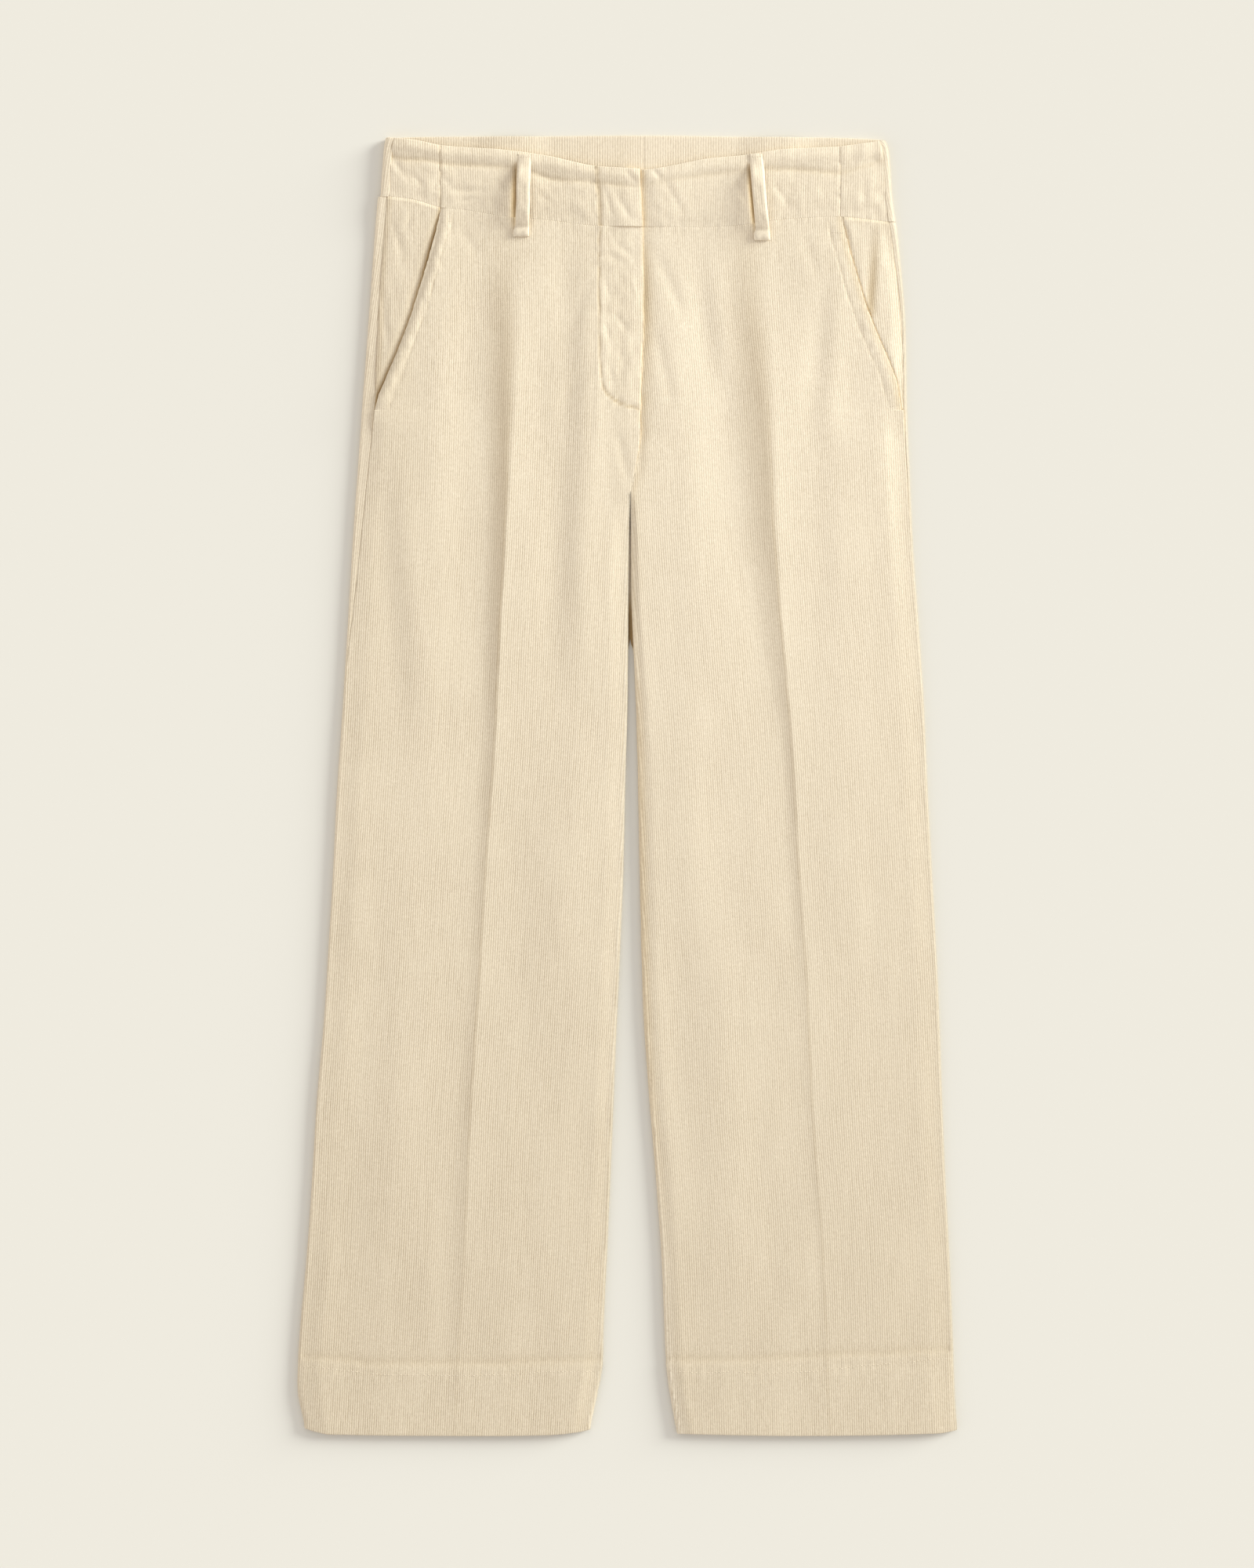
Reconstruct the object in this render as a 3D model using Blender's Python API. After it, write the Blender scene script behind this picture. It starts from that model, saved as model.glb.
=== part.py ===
"""Wide-leg corduroy trousers, laid flat with the front up.

The garment lies on the plane z = 0. X runs across it, Y runs up to the waist and Z runs out of
the front. Each piece of cloth is a wall: a grid of outer points, the same grid moved in by the
thickness of the cloth, and rims between the two. The sizes below are in millimetres.
"""

import math
from collections import namedtuple

import bpy

MM = 0.001

# Cloth
CLOTH = 1.5
BAND_CLOTH = 2.2
HEM_CLOTH = 2.6
LOOP_CLOTH = 2.0
BACK_LOOP_CLOTH = 1.2
SEAM_GAP = 0.3
LAYER_GAP = 0.3

# Heights of the outer face of the front above the floor
LEG_HEIGHT = 5.4
WAIST_HEIGHT = 5.7
HEM_HEIGHT = 6.0
BAND_HEIGHT = 6.6
LOWEST_FRONT = 2 * CLOTH + LAYER_GAP + 0.1
HIGHEST_FRONT = 2 * CLOTH + 3.8

# Folded edges of the legs and of the waistband
LEG_FOLD_RADIUS = 2.0
BAND_FOLD_RADIUS = 3.0
EDGE_SLOPE_WIDTH = 15.0
INSEAM_ARC = 0.15

# Heights along the garment, measured up from its middle
WAIST_SEAM = 447.0
SEAM_SHIFT_FADE = 110.0
POCKET_FOOT = 297.0
POCKET_LEVEL_END = 272.0
HIP_PANEL_FOOT = 302.0
FLY_FOOT = 297.0
LAP_END = 286.0
LAP_LEVEL_END = 262.0
FRONT_FORK = 231.0
FORK_OPEN_END = 196.0
BACK_FORK = 117.0
BACK_FORK_END = 98.0
HEM_LINE = -462.0
HEM_LINE_BLUR = 5.0
HEM_CORNER_REACH = 60.0
BOTTOM = -513.0
WAIST_BLEND = (300.0, 440.0)
BAND_MIDDLE = 490.0
BAND_ENDS = (442.0, 488.0)
SIDE_FOLD_X = 199.0

# Fly, pockets and waistband
UNDERLAP_WIDTH = 11.5
UNDERLAP_HEIGHT = 3.8
UNDERLAP_BLEND = (16.0, 42.0)
UNDERLAP_END = 12.0
FLY_WIDTH = 33.0
FLY_RAISE = 0.35
FLY_RAISE_FADE = 6.0
HIP_HEIGHT = 4.6
HIP_REACH = (34.0, 72.0)
HIP_BLEND = 6.0
POCKET_TURN = 16.0
POCKET_LIFT = CLOTH + LAYER_GAP + 0.05
POCKET_LIFT_FADE = (18.0, 44.0)
POCKET_GAPE = 1.5
POCKET_GAPE_REACH = 22.0
POCKET_GAPE_BLEND = (-2.0, 8.0)
UNDER_BAND_HEIGHT = BAND_CLOTH * 2 + LAYER_GAP + 0.2
OVER_BAND_HEIGHT = UNDER_BAND_HEIGHT + BAND_CLOTH + LAYER_GAP
BAND_LAP_BLEND = (15.0, 38.0)

# Belt loops
LOOP_WIDTH = 10.8
LOOP_RISE = 5.3
BACK_LOOP_LIFT = BACK_LOOP_CLOTH + LAYER_GAP
BACK_LOOP_WIDTH = 10.8
BACK_LOOP_X = (-92.0, 118.0)
BACK_LOOP_HUMP = (7.0, 15.0)
BACK_LOOP_FLANK = 40.0
FOOT_MARGIN = 3.0
SLOPE_STEP = 0.5

Outline = namedtuple("Outline", "y outer")
Inner = namedtuple("Inner", "y x")
Crease = namedtuple("Crease", "y x height")
Seam = namedtuple("Seam", "y inset")
Mouth = namedtuple("Mouth", "y x gape")
Waist = namedtuple("Waist", "x bottom top")
Hem = namedtuple("Hem", "x y")
Fold = namedtuple("Fold", "y_top y_bottom x_top x_bottom width height")
Loop = namedtuple("Loop", "x_top y_top x_bottom y_bottom")

# How far the outer edge lies from the middle line, waist to hem.
OUTLINE = {
    "left": [
        Outline(514.6, 191.0), Outline(503.0, 192.9), Outline(466.0, 195.6),
        Outline(435.0, 198.7), Outline(373.0, 204.3), Outline(311.0, 209.2),
        Outline(249.0, 213.6), Outline(187.0, 217.9), Outline(125.0, 221.6),
        Outline(63.0, 225.4), Outline(1.0, 229.7), Outline(-61.0, 232.8),
        Outline(-123.0, 236.5), Outline(-185.0, 240.3), Outline(-247.0, 245.8),
        Outline(-309.0, 249.6), Outline(-371.0, 253.9), Outline(-433.0, 259.5),
        Outline(-458.0, 260.9), Outline(-484.0, 260.9), Outline(-509.0, 256.0),
    ],
    "right": [
        Outline(514.6, 201.0), Outline(509.0, 204.6), Outline(503.0, 206.9),
        Outline(485.0, 208.6), Outline(466.0, 209.9), Outline(435.0, 214.2),
        Outline(404.0, 217.3), Outline(373.0, 219.8), Outline(342.0, 220.9),
        Outline(311.0, 221.2), Outline(274.0, 222.3), Outline(249.0, 223.5),
        Outline(187.0, 226.4), Outline(125.0, 230.9), Outline(63.0, 235.0),
        Outline(1.0, 237.6), Outline(-61.0, 240.9), Outline(-123.0, 244.3),
        Outline(-185.0, 247.2), Outline(-247.0, 249.3), Outline(-309.0, 251.8),
        Outline(-371.0, 255.0), Outline(-433.0, 257.6), Outline(-484.0, 259.4),
        Outline(-512.0, 261.2),
    ],
}

# The inner edge of each leg, from the front fork to the hem.
INNER_EDGE = {
    "left": [
        Inner(231.0, 2.05), Inner(212.0, 1.2), Inner(140.0, 0.9), Inner(63.0, 0.2),
        Inner(1.0, -1.6), Inner(-61.0, -2.9), Inner(-123.0, -5.3), Inner(-185.0, -8.2),
        Inner(-309.0, -13.4), Inner(-433.0, -18.9), Inner(-458.0, -19.7),
        Inner(-484.0, -24.2), Inner(-510.0, -29.5),
    ],
    "right": [
        Inner(231.0, 2.35), Inner(212.0, 2.9), Inner(140.0, 3.3), Inner(94.0, 5.4),
        Inner(63.0, 6.8), Inner(1.0, 8.4), Inner(-61.0, 9.6), Inner(-123.0, 10.9),
        Inner(-185.0, 13.0), Inner(-247.0, 17.3), Inner(-309.0, 22.4),
        Inner(-371.0, 26.8), Inner(-433.0, 29.5), Inner(-458.0, 30.9),
        Inner(-484.0, 34.4), Inner(-513.0, 39.7),
    ],
}

# The edge of the lap over the fly, then the centre front seam down to the fork.
CENTRE_FRONT = [
    Inner(490.0, 9.6), Inner(441.0, 12.1), Inner(404.0, 12.3), Inner(362.0, 12.6),
    Inner(330.0, 11.5), Inner(297.0, 10.2), Inner(274.0, 9.9), Inner(249.0, 6.0),
    Inner(231.0, 2.2),
]

# The centre back seam down to the back fork.
CENTRE_BACK = [
    Inner(514.0, 13.4), Inner(447.0, 13.0), Inner(300.0, 8.0), Inner(200.0, 3.4),
    Inner(117.0, 2.1),
]

# The pressed crease down the middle of each front.
CREASE = {
    "left": [
        Crease(441.0, -86.0, 0.0), Crease(373.0, -88.0, 0.35), Crease(290.0, -90.8, 0.9),
        Crease(207.0, -95.8, 1.3), Crease(125.0, -100.8, 1.4), Crease(1.0, -105.7, 1.4),
        Crease(-123.0, -113.2, 1.3), Crease(-247.0, -122.5, 1.1),
        Crease(-371.0, -128.4, 0.9), Crease(-464.0, -133.9, 0.4),
        Crease(-514.0, -136.5, 0.35),
    ],
    "right": [
        Crease(441.0, 100.5, 0.3), Crease(373.0, 106.5, 0.7), Crease(293.0, 113.8, 1.2),
        Crease(207.0, 118.9, 1.3), Crease(125.0, 124.6, 1.3), Crease(1.0, 132.4, 1.2),
        Crease(-123.0, 139.8, 1.1), Crease(-247.0, 146.8, 0.9),
        Crease(-371.0, 155.2, 0.7), Crease(-464.0, 159.0, 0.35),
        Crease(-514.0, 160.5, 0.3),
    ],
}
CREASE_STEEP = 4.0
CREASE_GENTLE = 26.0
CREASE_TROUGH = 13.0
TROUGH_SHARE = 0.85

# How far inside the outer edge the side seam lies, over the front.
SIDE_SEAM = {
    "left": [
        Seam(514.0, 6.5), Seam(435.0, 7.4), Seam(373.0, 7.6), Seam(300.0, 10.0),
        Seam(249.0, 8.4), Seam(187.0, 6.2), Seam(150.0, 4.6), Seam(100.0, 1.4),
        Seam(63.0, 0.4), Seam(-514.0, 0.4),
    ],
    "right": [
        Seam(514.0, 5.0), Seam(435.0, 5.6), Seam(373.0, 3.6), Seam(300.0, 3.0),
        Seam(249.0, 2.4), Seam(187.0, 1.0), Seam(140.0, 0.4), Seam(-514.0, 0.4),
    ],
}

# The slanted edge of each pocket mouth, and how far it gapes.
POCKET_MOUTH = {
    "left": [
        Mouth(457.0, -147.0, 0.0), Mouth(446.0, -148.9, 0.1), Mouth(419.7, -158.4, 0.7),
        Mouth(379.4, -169.5, 1.0), Mouth(339.0, -184.8, 0.6), Mouth(POCKET_FOOT, -199.0, 0.0),
    ],
    "right": [
        Mouth(457.0, 168.4, 0.0), Mouth(437.0, 171.6, 0.1), Mouth(384.4, 187.4, 0.7),
        Mouth(364.6, 194.6, 1.0), Mouth(323.6, 211.6, 0.5), Mouth(POCKET_FOOT, 217.0, 0.0),
    ],
}

# The waistband's lower seam and top edge, across the front and across the back.
WAIST_FRONT = [
    Waist(-192.0, 465.8, 512.6), Waist(-186.0, 465.6, 512.6), Waist(-168.0, 463.1, 510.6),
    Waist(-148.0, 457.2, 506.5), Waist(-128.0, 455.2, 504.8), Waist(-99.0, 450.4, 503.0),
    Waist(-62.0, 447.0, 497.8), Waist(-28.0, 443.0, 490.4), Waist(9.0, 442.1, 487.8),
    Waist(17.0, 442.0, 487.4), Waist(36.0, 441.8, 490.4), Waist(62.0, 441.6, 495.6),
    Waist(93.0, 443.5, 498.6), Waist(120.0, 447.4, 503.0), Waist(143.0, 449.0, 504.2),
    Waist(167.0, 449.9, 505.4), Waist(183.0, 448.6, 507.4), Waist(206.0, 445.9, 510.8),
]
WAIST_BACK = [
    Waist(-192.0, 465.8, 512.6), Waist(-160.0, 462.0, 513.6), Waist(-60.0, 458.0, 514.0),
    Waist(13.4, 456.5, 514.6), Waist(90.0, 453.0, 513.6), Waist(170.0, 448.5, 512.8),
    Waist(206.0, 445.9, 510.8),
]
BAND_SEAM_X = {"left": -148.0, "right": 168.4}

# The lower edge of each leg.
HEM_EDGE = {
    "left": [
        Hem(-256.0, -508.6), Hem(-246.0, -511.6), Hem(-236.0, -513.4), Hem(-134.0, -514.6),
        Hem(-64.0, -514.0), Hem(-40.0, -511.8), Hem(-29.0, -509.6),
    ],
    "right": [
        Hem(39.0, -513.0), Hem(140.0, -514.6), Hem(246.0, -512.6), Hem(261.0, -510.2),
    ],
}

# Soft folds of the fronts: troughs are negative, ridges positive.
FOLDS = {
    "left": [
        Fold(425.0, 290.0, -60.0, -60.0, 13.0, -0.6),
        Fold(405.0, 235.0, -38.0, -42.0, 12.0, -0.9),
        Fold(300.0, 120.0, -46.0, -48.0, 16.0, -0.8),
        Fold(290.0, 60.0, -192.0, -170.0, 11.0, -0.9),
        Fold(60.0, -240.0, -60.0, -76.0, 22.0, -0.5),
        Fold(-60.0, -420.0, -190.0, -215.0, 24.0, -0.45),
    ],
    "right": [
        Fold(425.0, 330.0, 45.0, 66.0, 10.0, -0.7),
        Fold(420.0, 270.0, 86.0, 104.0, 13.0, -0.9),
        Fold(410.0, 290.0, 160.0, 168.0, 11.0, -0.7),
        Fold(290.0, 40.0, 196.0, 205.0, 18.0, -0.5),
        Fold(130.0, -160.0, 62.0, 70.0, 22.0, -0.5),
        Fold(-200.0, -440.0, 68.0, 72.0, 18.0, -0.5),
    ],
}

FRONT_LOOPS = {
    "left": Loop(-81.2, 499.0, -83.2, 434.0),
    "right": Loop(101.4, 499.4, 107.4, 431.0),
}

# Rows along the legs, waist to hem.
LEG_ROWS = [
    446.7, 436.0, 420.0, 402.0, 382.0, 362.0, 342.0, 322.0, 308.0, 297.0, 286.0, 272.0,
    256.0, 243.0, 231.0, 220.0, 207.0, 193.0, 165.0, 135.0, 117.0, 98.0, 65.0, 20.0, -35.0,
    -90.0, -145.0, -200.0, -255.0, -310.0, -365.0, -415.0, -450.0, -457.0, -467.0, -490.0,
    -504.0, BOTTOM,
]

COLOURS = {
    "front": (0.80, 0.67, 0.50),
    "back": (0.76, 0.63, 0.46),
    "hip": (0.82, 0.70, 0.53),
    "band": (0.81, 0.69, 0.52),
    "loop": (0.84, 0.72, 0.56),
}
SIGN = {"left": -1.0, "right": 1.0}


def ease(value):
    """A smooth step from 0 to 1."""
    value = min(1.0, max(0.0, value))
    return value * value * (3.0 - 2.0 * value)


def between(value, start, end):
    """0 at start, 1 at end, smooth between them."""
    return ease((value - start) / (end - start))


def mix(a, b, share):
    return a + (b - a) * share


def read(table, column, at):
    """A column of a table where its first column is `at`, on a smooth curve through the rows."""
    rows = sorted(table, key=lambda row: row[0])
    keys = [row[0] for row in rows]
    values = [getattr(row, column) for row in rows]
    if at <= keys[0]:
        return values[0]
    if at >= keys[-1]:
        return values[-1]
    index = max(i for i, key in enumerate(keys) if key <= at)
    slopes = []
    for i in (index, index + 1):
        low = max(i - 1, 0)
        high = min(i + 1, len(keys) - 1)
        slopes.append((values[high] - values[low]) / (keys[high] - keys[low]))
    span = keys[index + 1] - keys[index]
    t = (at - keys[index]) / span
    t2 = t * t
    t3 = t2 * t
    return (
        (2 * t3 - 3 * t2 + 1) * values[index]
        + (t3 - 2 * t2 + t) * span * slopes[0]
        + (3 * t2 - 2 * t3) * values[index + 1]
        + (t3 - t2) * span * slopes[1]
    )


# ---------------------------------------------------------------- surface of the legs


def outer_x(side, y):
    return SIGN[side] * read(OUTLINE[side], "outer", y)


def inset(side, x, y):
    """How far a point lies inside the outer edge."""
    return read(OUTLINE[side], "outer", y) - SIGN[side] * x


def crease_relief(side, x, y):
    """A pressed ridge, steep on its left with a trough beside it, and gentle on its right."""
    height = read(CREASE[side], "height", y)
    offset = x - read(CREASE[side], "x", y)
    if offset >= 0.0:
        return height * math.exp(-offset / CREASE_GENTLE)
    reach = -offset / CREASE_TROUGH
    trough = reach * math.exp(1.0 - reach)
    return height * (math.exp(offset / CREASE_STEEP) - TROUGH_SHARE * trough)


def fold_relief(side, x, y):
    """The sum of the soft folds of one front."""
    total = 0.0
    for fold in FOLDS[side]:
        along = (fold.y_top - y) / (fold.y_top - fold.y_bottom)
        if not 0.0 < along < 1.0:
            continue
        middle = mix(fold.x_top, fold.x_bottom, along)
        across = (x - middle) / fold.width
        total += fold.height * math.sin(math.pi * along) * math.exp(-across * across)
    return total


def at_hem(y):
    """0 on the leg, 1 on the turned-up hem."""
    return between(y, HEM_LINE + HEM_LINE_BLUR, HEM_LINE - HEM_LINE_BLUR)


def base_height(side, x, y):
    """Height of the outer face of the front, away from the edges, pockets and fly."""
    height = mix(LEG_HEIGHT, WAIST_HEIGHT, between(y, *WAIST_BLEND))
    height = mix(height, HEM_HEIGHT, at_hem(y))
    relief = crease_relief(side, x, y) + fold_relief(side, x, y)
    hip = between(y, POCKET_LEVEL_END, POCKET_FOOT + HIP_BLEND)
    hip *= 1.0 - between(inset(side, x, y), *HIP_REACH)
    height = mix(height + relief, HIP_HEIGHT, hip)
    if y < HEM_LINE + HEM_LINE_BLUR:
        return max(height, 2.0 * HEM_CLOTH + LAYER_GAP + 0.1)
    return min(max(height, LOWEST_FRONT), HIGHEST_FRONT)


def slope_share(distance, radius):
    """How much of the rise from the folded edge to the flat is done."""
    return between(distance, radius, EDGE_SLOPE_WIDTH)


def cloth_at(distance, y):
    """The wall's thickness: doubled at the hem, single beside the folded edges."""
    return mix(CLOTH, HEM_CLOTH, at_hem(y) * slope_share(distance, LEG_FOLD_RADIUS))


def fold_point(arc, radius, height):
    """A point on a folded edge's outer face, `arc` along it from its outermost point.

    Returns the distance inside the edge, the height, and the outward normal's two parts, the
    first of which points out of the edge.
    """
    quarter = radius * math.pi / 2.0
    if arc > quarter:
        distance = radius + arc - quarter
        share = slope_share(distance, radius)
        further = slope_share(distance + SLOPE_STEP, radius)
        rise = (height - 2.0 * radius) * (further - share) / SLOPE_STEP
        length = math.hypot(1.0, rise)
        return distance, mix(2.0 * radius, height, share), rise / length, 1.0 / length
    if arc < -quarter:
        return radius - quarter - arc, 0.0, 0.0, -1.0
    angle = arc / radius
    return (
        radius * (1.0 - math.cos(angle)),
        radius * (1.0 + math.sin(angle)),
        math.cos(angle),
        math.sin(angle),
    )


def seam_arc(distance, radius):
    """How far along a folded edge a point lies that is `distance` inside it."""
    if distance >= radius:
        return radius * math.pi / 2.0 + distance - radius
    return radius * math.acos(1.0 - distance / radius)


def front_lift(side, x, y):
    """What the front adds to the base: over the pocket facing, the fly and the underlap."""
    mouth = SIGN[side] * (read(POCKET_MOUTH[side], "x", y) - x)
    over_pocket = 1.0 - between(mouth, *POCKET_LIFT_FADE)
    over_pocket *= between(y, POCKET_LEVEL_END, POCKET_FOOT)
    gape = POCKET_GAPE * read(POCKET_MOUTH[side], "gape", y)
    gape *= 1.0 - ease(mouth / POCKET_GAPE_REACH)
    gape *= between(y - POCKET_FOOT, *POCKET_GAPE_BLEND)
    lift = POCKET_LIFT * over_pocket + gape
    lap = read(CENTRE_FRONT, "x", y)
    at_fly = between(y, LAP_LEVEL_END, LAP_END)
    if side == "left":
        on_fly = 1.0 - between(lap - x, FLY_WIDTH, FLY_WIDTH + FLY_RAISE_FADE)
        return lift + FLY_RAISE * at_fly * on_fly
    under = 1.0 - between(x - lap, *UNDERLAP_BLEND)
    return lift + (UNDERLAP_HEIGHT - base_height(side, x, y)) * at_fly * under


def waist_shift(layer, x, y):
    """How far a row of a leg moves up or down so that the first one follows the waist seam."""
    table = WAIST_FRONT if layer == "front" else WAIST_BACK
    fade = ease((y - WAIST_SEAM + SEAM_SHIFT_FADE) / SEAM_SHIFT_FADE)
    return (read(table, "bottom", x) - WAIST_SEAM) * fade


def hem_shift(side, x, y):
    """How far a row moves so that the last one follows the leg's lower edge."""
    fade = ease((BOTTOM + HEM_CORNER_REACH - y) / HEM_CORNER_REACH)
    return (read(HEM_EDGE[side], "y", x) - BOTTOM) * fade


def row_y(side, layer, x, y):
    return y + waist_shift(layer, x, y) + hem_shift(side, x, y)


# ---------------------------------------------------------------- meshes


def wall(name, outer, inner, colour):
    """A closed solid between two grids of points, given in millimetres."""
    rows = len(outer)
    columns = len(outer[0])
    points = [point for row in outer for point in row]
    points += [point for row in inner for point in row]
    inside = rows * columns

    def outer_at(row, column):
        return row * columns + column

    faces = []
    for row in range(rows - 1):
        for column in range(columns - 1):
            a = outer_at(row, column)
            b = outer_at(row, column + 1)
            c = outer_at(row + 1, column + 1)
            d = outer_at(row + 1, column)
            faces.append((a, b, c, d))
            faces.append((inside + d, inside + c, inside + b, inside + a))
    rim = [outer_at(0, column) for column in range(columns)]
    rim += [outer_at(row, columns - 1) for row in range(1, rows)]
    rim += [outer_at(rows - 1, column) for column in range(columns - 2, -1, -1)]
    rim += [outer_at(row, 0) for row in range(rows - 2, 0, -1)]
    for start, end in zip(rim, rim[1:] + rim[:1]):
        faces.append((end, start, inside + start, inside + end))

    mesh = bpy.data.meshes.new(name)
    mesh.from_pydata([[value * MM for value in point] for point in points], [], faces)
    if signed_volume(points, faces) < 0.0:
        mesh.flip_normals()
    mesh.validate()
    mesh.shade_smooth()
    mesh.set_sharp_from_angle(angle=math.radians(40.0))
    mesh.materials.append(cloth_material(name, colour))
    piece = bpy.data.objects.new(name, mesh)
    bpy.context.scene.collection.objects.link(piece)
    return piece


def signed_volume(points, faces):
    """Positive where the faces point out."""
    total = 0.0
    for face in faces:
        ax, ay, az = points[face[0]]
        for second, third in zip(face[1:-1], face[2:]):
            bx, by, bz = points[second]
            cx, cy, cz = points[third]
            total += ax * (by * cz - bz * cy) + ay * (bz * cx - bx * cz) + az * (bx * cy - by * cx)
    return total


def cloth_material(name, colour):
    material = bpy.data.materials.new(name)
    material.use_nodes = True
    shader = material.node_tree.nodes["Principled BSDF"]
    shader.inputs["Base Color"].default_value = (*colour, 1.0)
    shader.inputs["Roughness"].default_value = 0.9
    shader.inputs["Metallic"].default_value = 0.0
    return material


def offset(point, normal, thickness):
    """A point moved in by the cloth's thickness, across the garment and down."""
    return (point[0] - normal[0] * thickness, point[1], point[2] - normal[1] * thickness)


def blend_points(first, second, share):
    return tuple(mix(a, b, share) for a, b in zip(first, second))


# ---------------------------------------------------------------- fronts

EDGE_ARCS = (0.0, 1.1, 2.3, 3.6, 7.0, 12.5)
LEFT_OF_CREASE = (0.3, 0.55, 0.76, 0.89, 0.96)
RIGHT_OF_CREASE = (0.06, 0.17, 0.36, 0.58, 0.8)


def front_start(side, y):
    """How far inside the outer edge the front begins: at the pocket mouth or the side seam."""
    seam = read(SIDE_SEAM[side], "inset", y)
    if y < POCKET_FOOT:
        return seam
    return inset(side, read(POCKET_MOUTH[side], "x", y), y)


def front_surface(side, x, y):
    """A point of the front's outer face away from its folded edges, with its normal."""

    def height(at):
        distance = inset(side, at, y)
        rise = slope_share(distance, LEG_FOLD_RADIUS)
        base = mix(2.0 * LEG_FOLD_RADIUS, base_height(side, at, y), rise)
        return base + front_lift(side, at, y)

    slope = (height(x + SLOPE_STEP) - height(x - SLOPE_STEP)) / (2.0 * SLOPE_STEP)
    length = math.hypot(1.0, slope)
    return (x, y, height(x)), (-slope / length, 1.0 / length)


def front_outer_edge(side, y, arc):
    """A point near the front's outer edge, `arc` on from the seam or the pocket mouth."""
    sign = SIGN[side]
    start = front_start(side, y)
    at = seam_arc(start, LEG_FOLD_RADIUS) + arc
    if y < POCKET_FOOT:
        at += SEAM_GAP / 2.0
    if at > LEG_FOLD_RADIUS * math.pi / 2.0:
        distance = LEG_FOLD_RADIUS + at - LEG_FOLD_RADIUS * math.pi / 2.0
        return front_surface(side, outer_x(side, y) - sign * distance, y)
    distance, z, out, up = fold_point(at, LEG_FOLD_RADIUS, LEG_HEIGHT)
    return (outer_x(side, y) - sign * distance, y, z), (sign * out, up)


def front_inner_edge(side, y, arc):
    """A point near the front's inner edge: lap, centre seam, or the folded edge of the leg."""
    sign = SIGN[side]
    centre = read(CENTRE_FRONT, "x", y)
    lapped = between(y, FLY_FOOT, FLY_FOOT + UNDERLAP_END)
    if side == "right":
        centre = mix(centre + SEAM_GAP / 2.0, centre - UNDERLAP_WIDTH, lapped)
    else:
        centre -= SEAM_GAP / 2.0 * (1.0 - lapped)
    flat, flat_normal = front_surface(side, centre + sign * arc, y)
    if y >= FRONT_FORK:
        return flat, flat_normal
    edge = read(INNER_EDGE[side], "x", y)
    quarter = LEG_FOLD_RADIUS * math.pi / 2.0
    at = arc + INSEAM_ARC
    if at > quarter:
        distance = LEG_FOLD_RADIUS + at - quarter
        x = edge + sign * distance
        high, normal = front_surface(side, x, y)
        z = mix(2.0 * LEG_FOLD_RADIUS, high[2], slope_share(distance, LEG_FOLD_RADIUS))
        folded = (x, y, z)
    else:
        distance, z, out, up = fold_point(at, LEG_FOLD_RADIUS, LEG_HEIGHT)
        folded = (edge + sign * distance, y, z)
        normal = (-sign * out, up)
    share = between(y, FRONT_FORK, FORK_OPEN_END)
    flat, flat_normal = front_surface(side, edge + sign * arc, y)
    normal = blend_points(flat_normal, normal, share)
    length = math.hypot(*normal)
    return blend_points(flat, folded, share), (normal[0] / length, normal[1] / length)


def front_row(side, y):
    """The front's points at one height, from the outer edge to the inner one."""
    row = [front_outer_edge(side, y, arc) for arc in EDGE_ARCS]
    inner_edge = [front_inner_edge(side, y, arc) for arc in reversed(EDGE_ARCS)]
    start = row[-1][0][0]
    end = inner_edge[0][0][0]
    crease = read(CREASE[side], "x", y)
    first, second = LEFT_OF_CREASE, RIGHT_OF_CREASE
    if side == "right":
        first = [1.0 - share for share in reversed(RIGHT_OF_CREASE)]
        second = [1.0 - share for share in reversed(LEFT_OF_CREASE)]
    row += [front_surface(side, mix(start, crease, share), y) for share in first]
    row.append(front_surface(side, crease, y))
    row += [front_surface(side, mix(crease, end, share), y) for share in second]
    return row + inner_edge


def build_front(side):
    outer = []
    inner = []
    for y in LEG_ROWS:
        outer_row = []
        inner_row = []
        for point, normal in front_row(side, y):
            thickness = wall_here(side, point[0], y)
            point = (point[0], row_y(side, "front", point[0], y), point[2])
            outer_row.append(point)
            inner_row.append(offset(point, normal, thickness))
        outer.append(outer_row)
        inner.append(inner_row)
    return wall("front_" + side, outer, inner, COLOURS["front"])


def wall_here(side, x, y):
    """The leg's wall, by how near its closer edge is."""
    from_outer = inset(side, x, y)
    from_inner = SIGN[side] * (x - read(INNER_EDGE[side], "x", y))
    return cloth_at(min(from_outer, from_inner), y)


# ---------------------------------------------------------------- backs

BACK_UPTURN = (0.0, 0.34, 0.67, 1.0)
BACK_UNDER_ARCS = (-1.05, -2.1, -math.pi)
BACK_MIDDLE = (0.06, 0.35, 0.65, 0.94)
BACK_INNER_ARCS = (-math.pi, -2.1, -1.1, -INSEAM_ARC)


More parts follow.
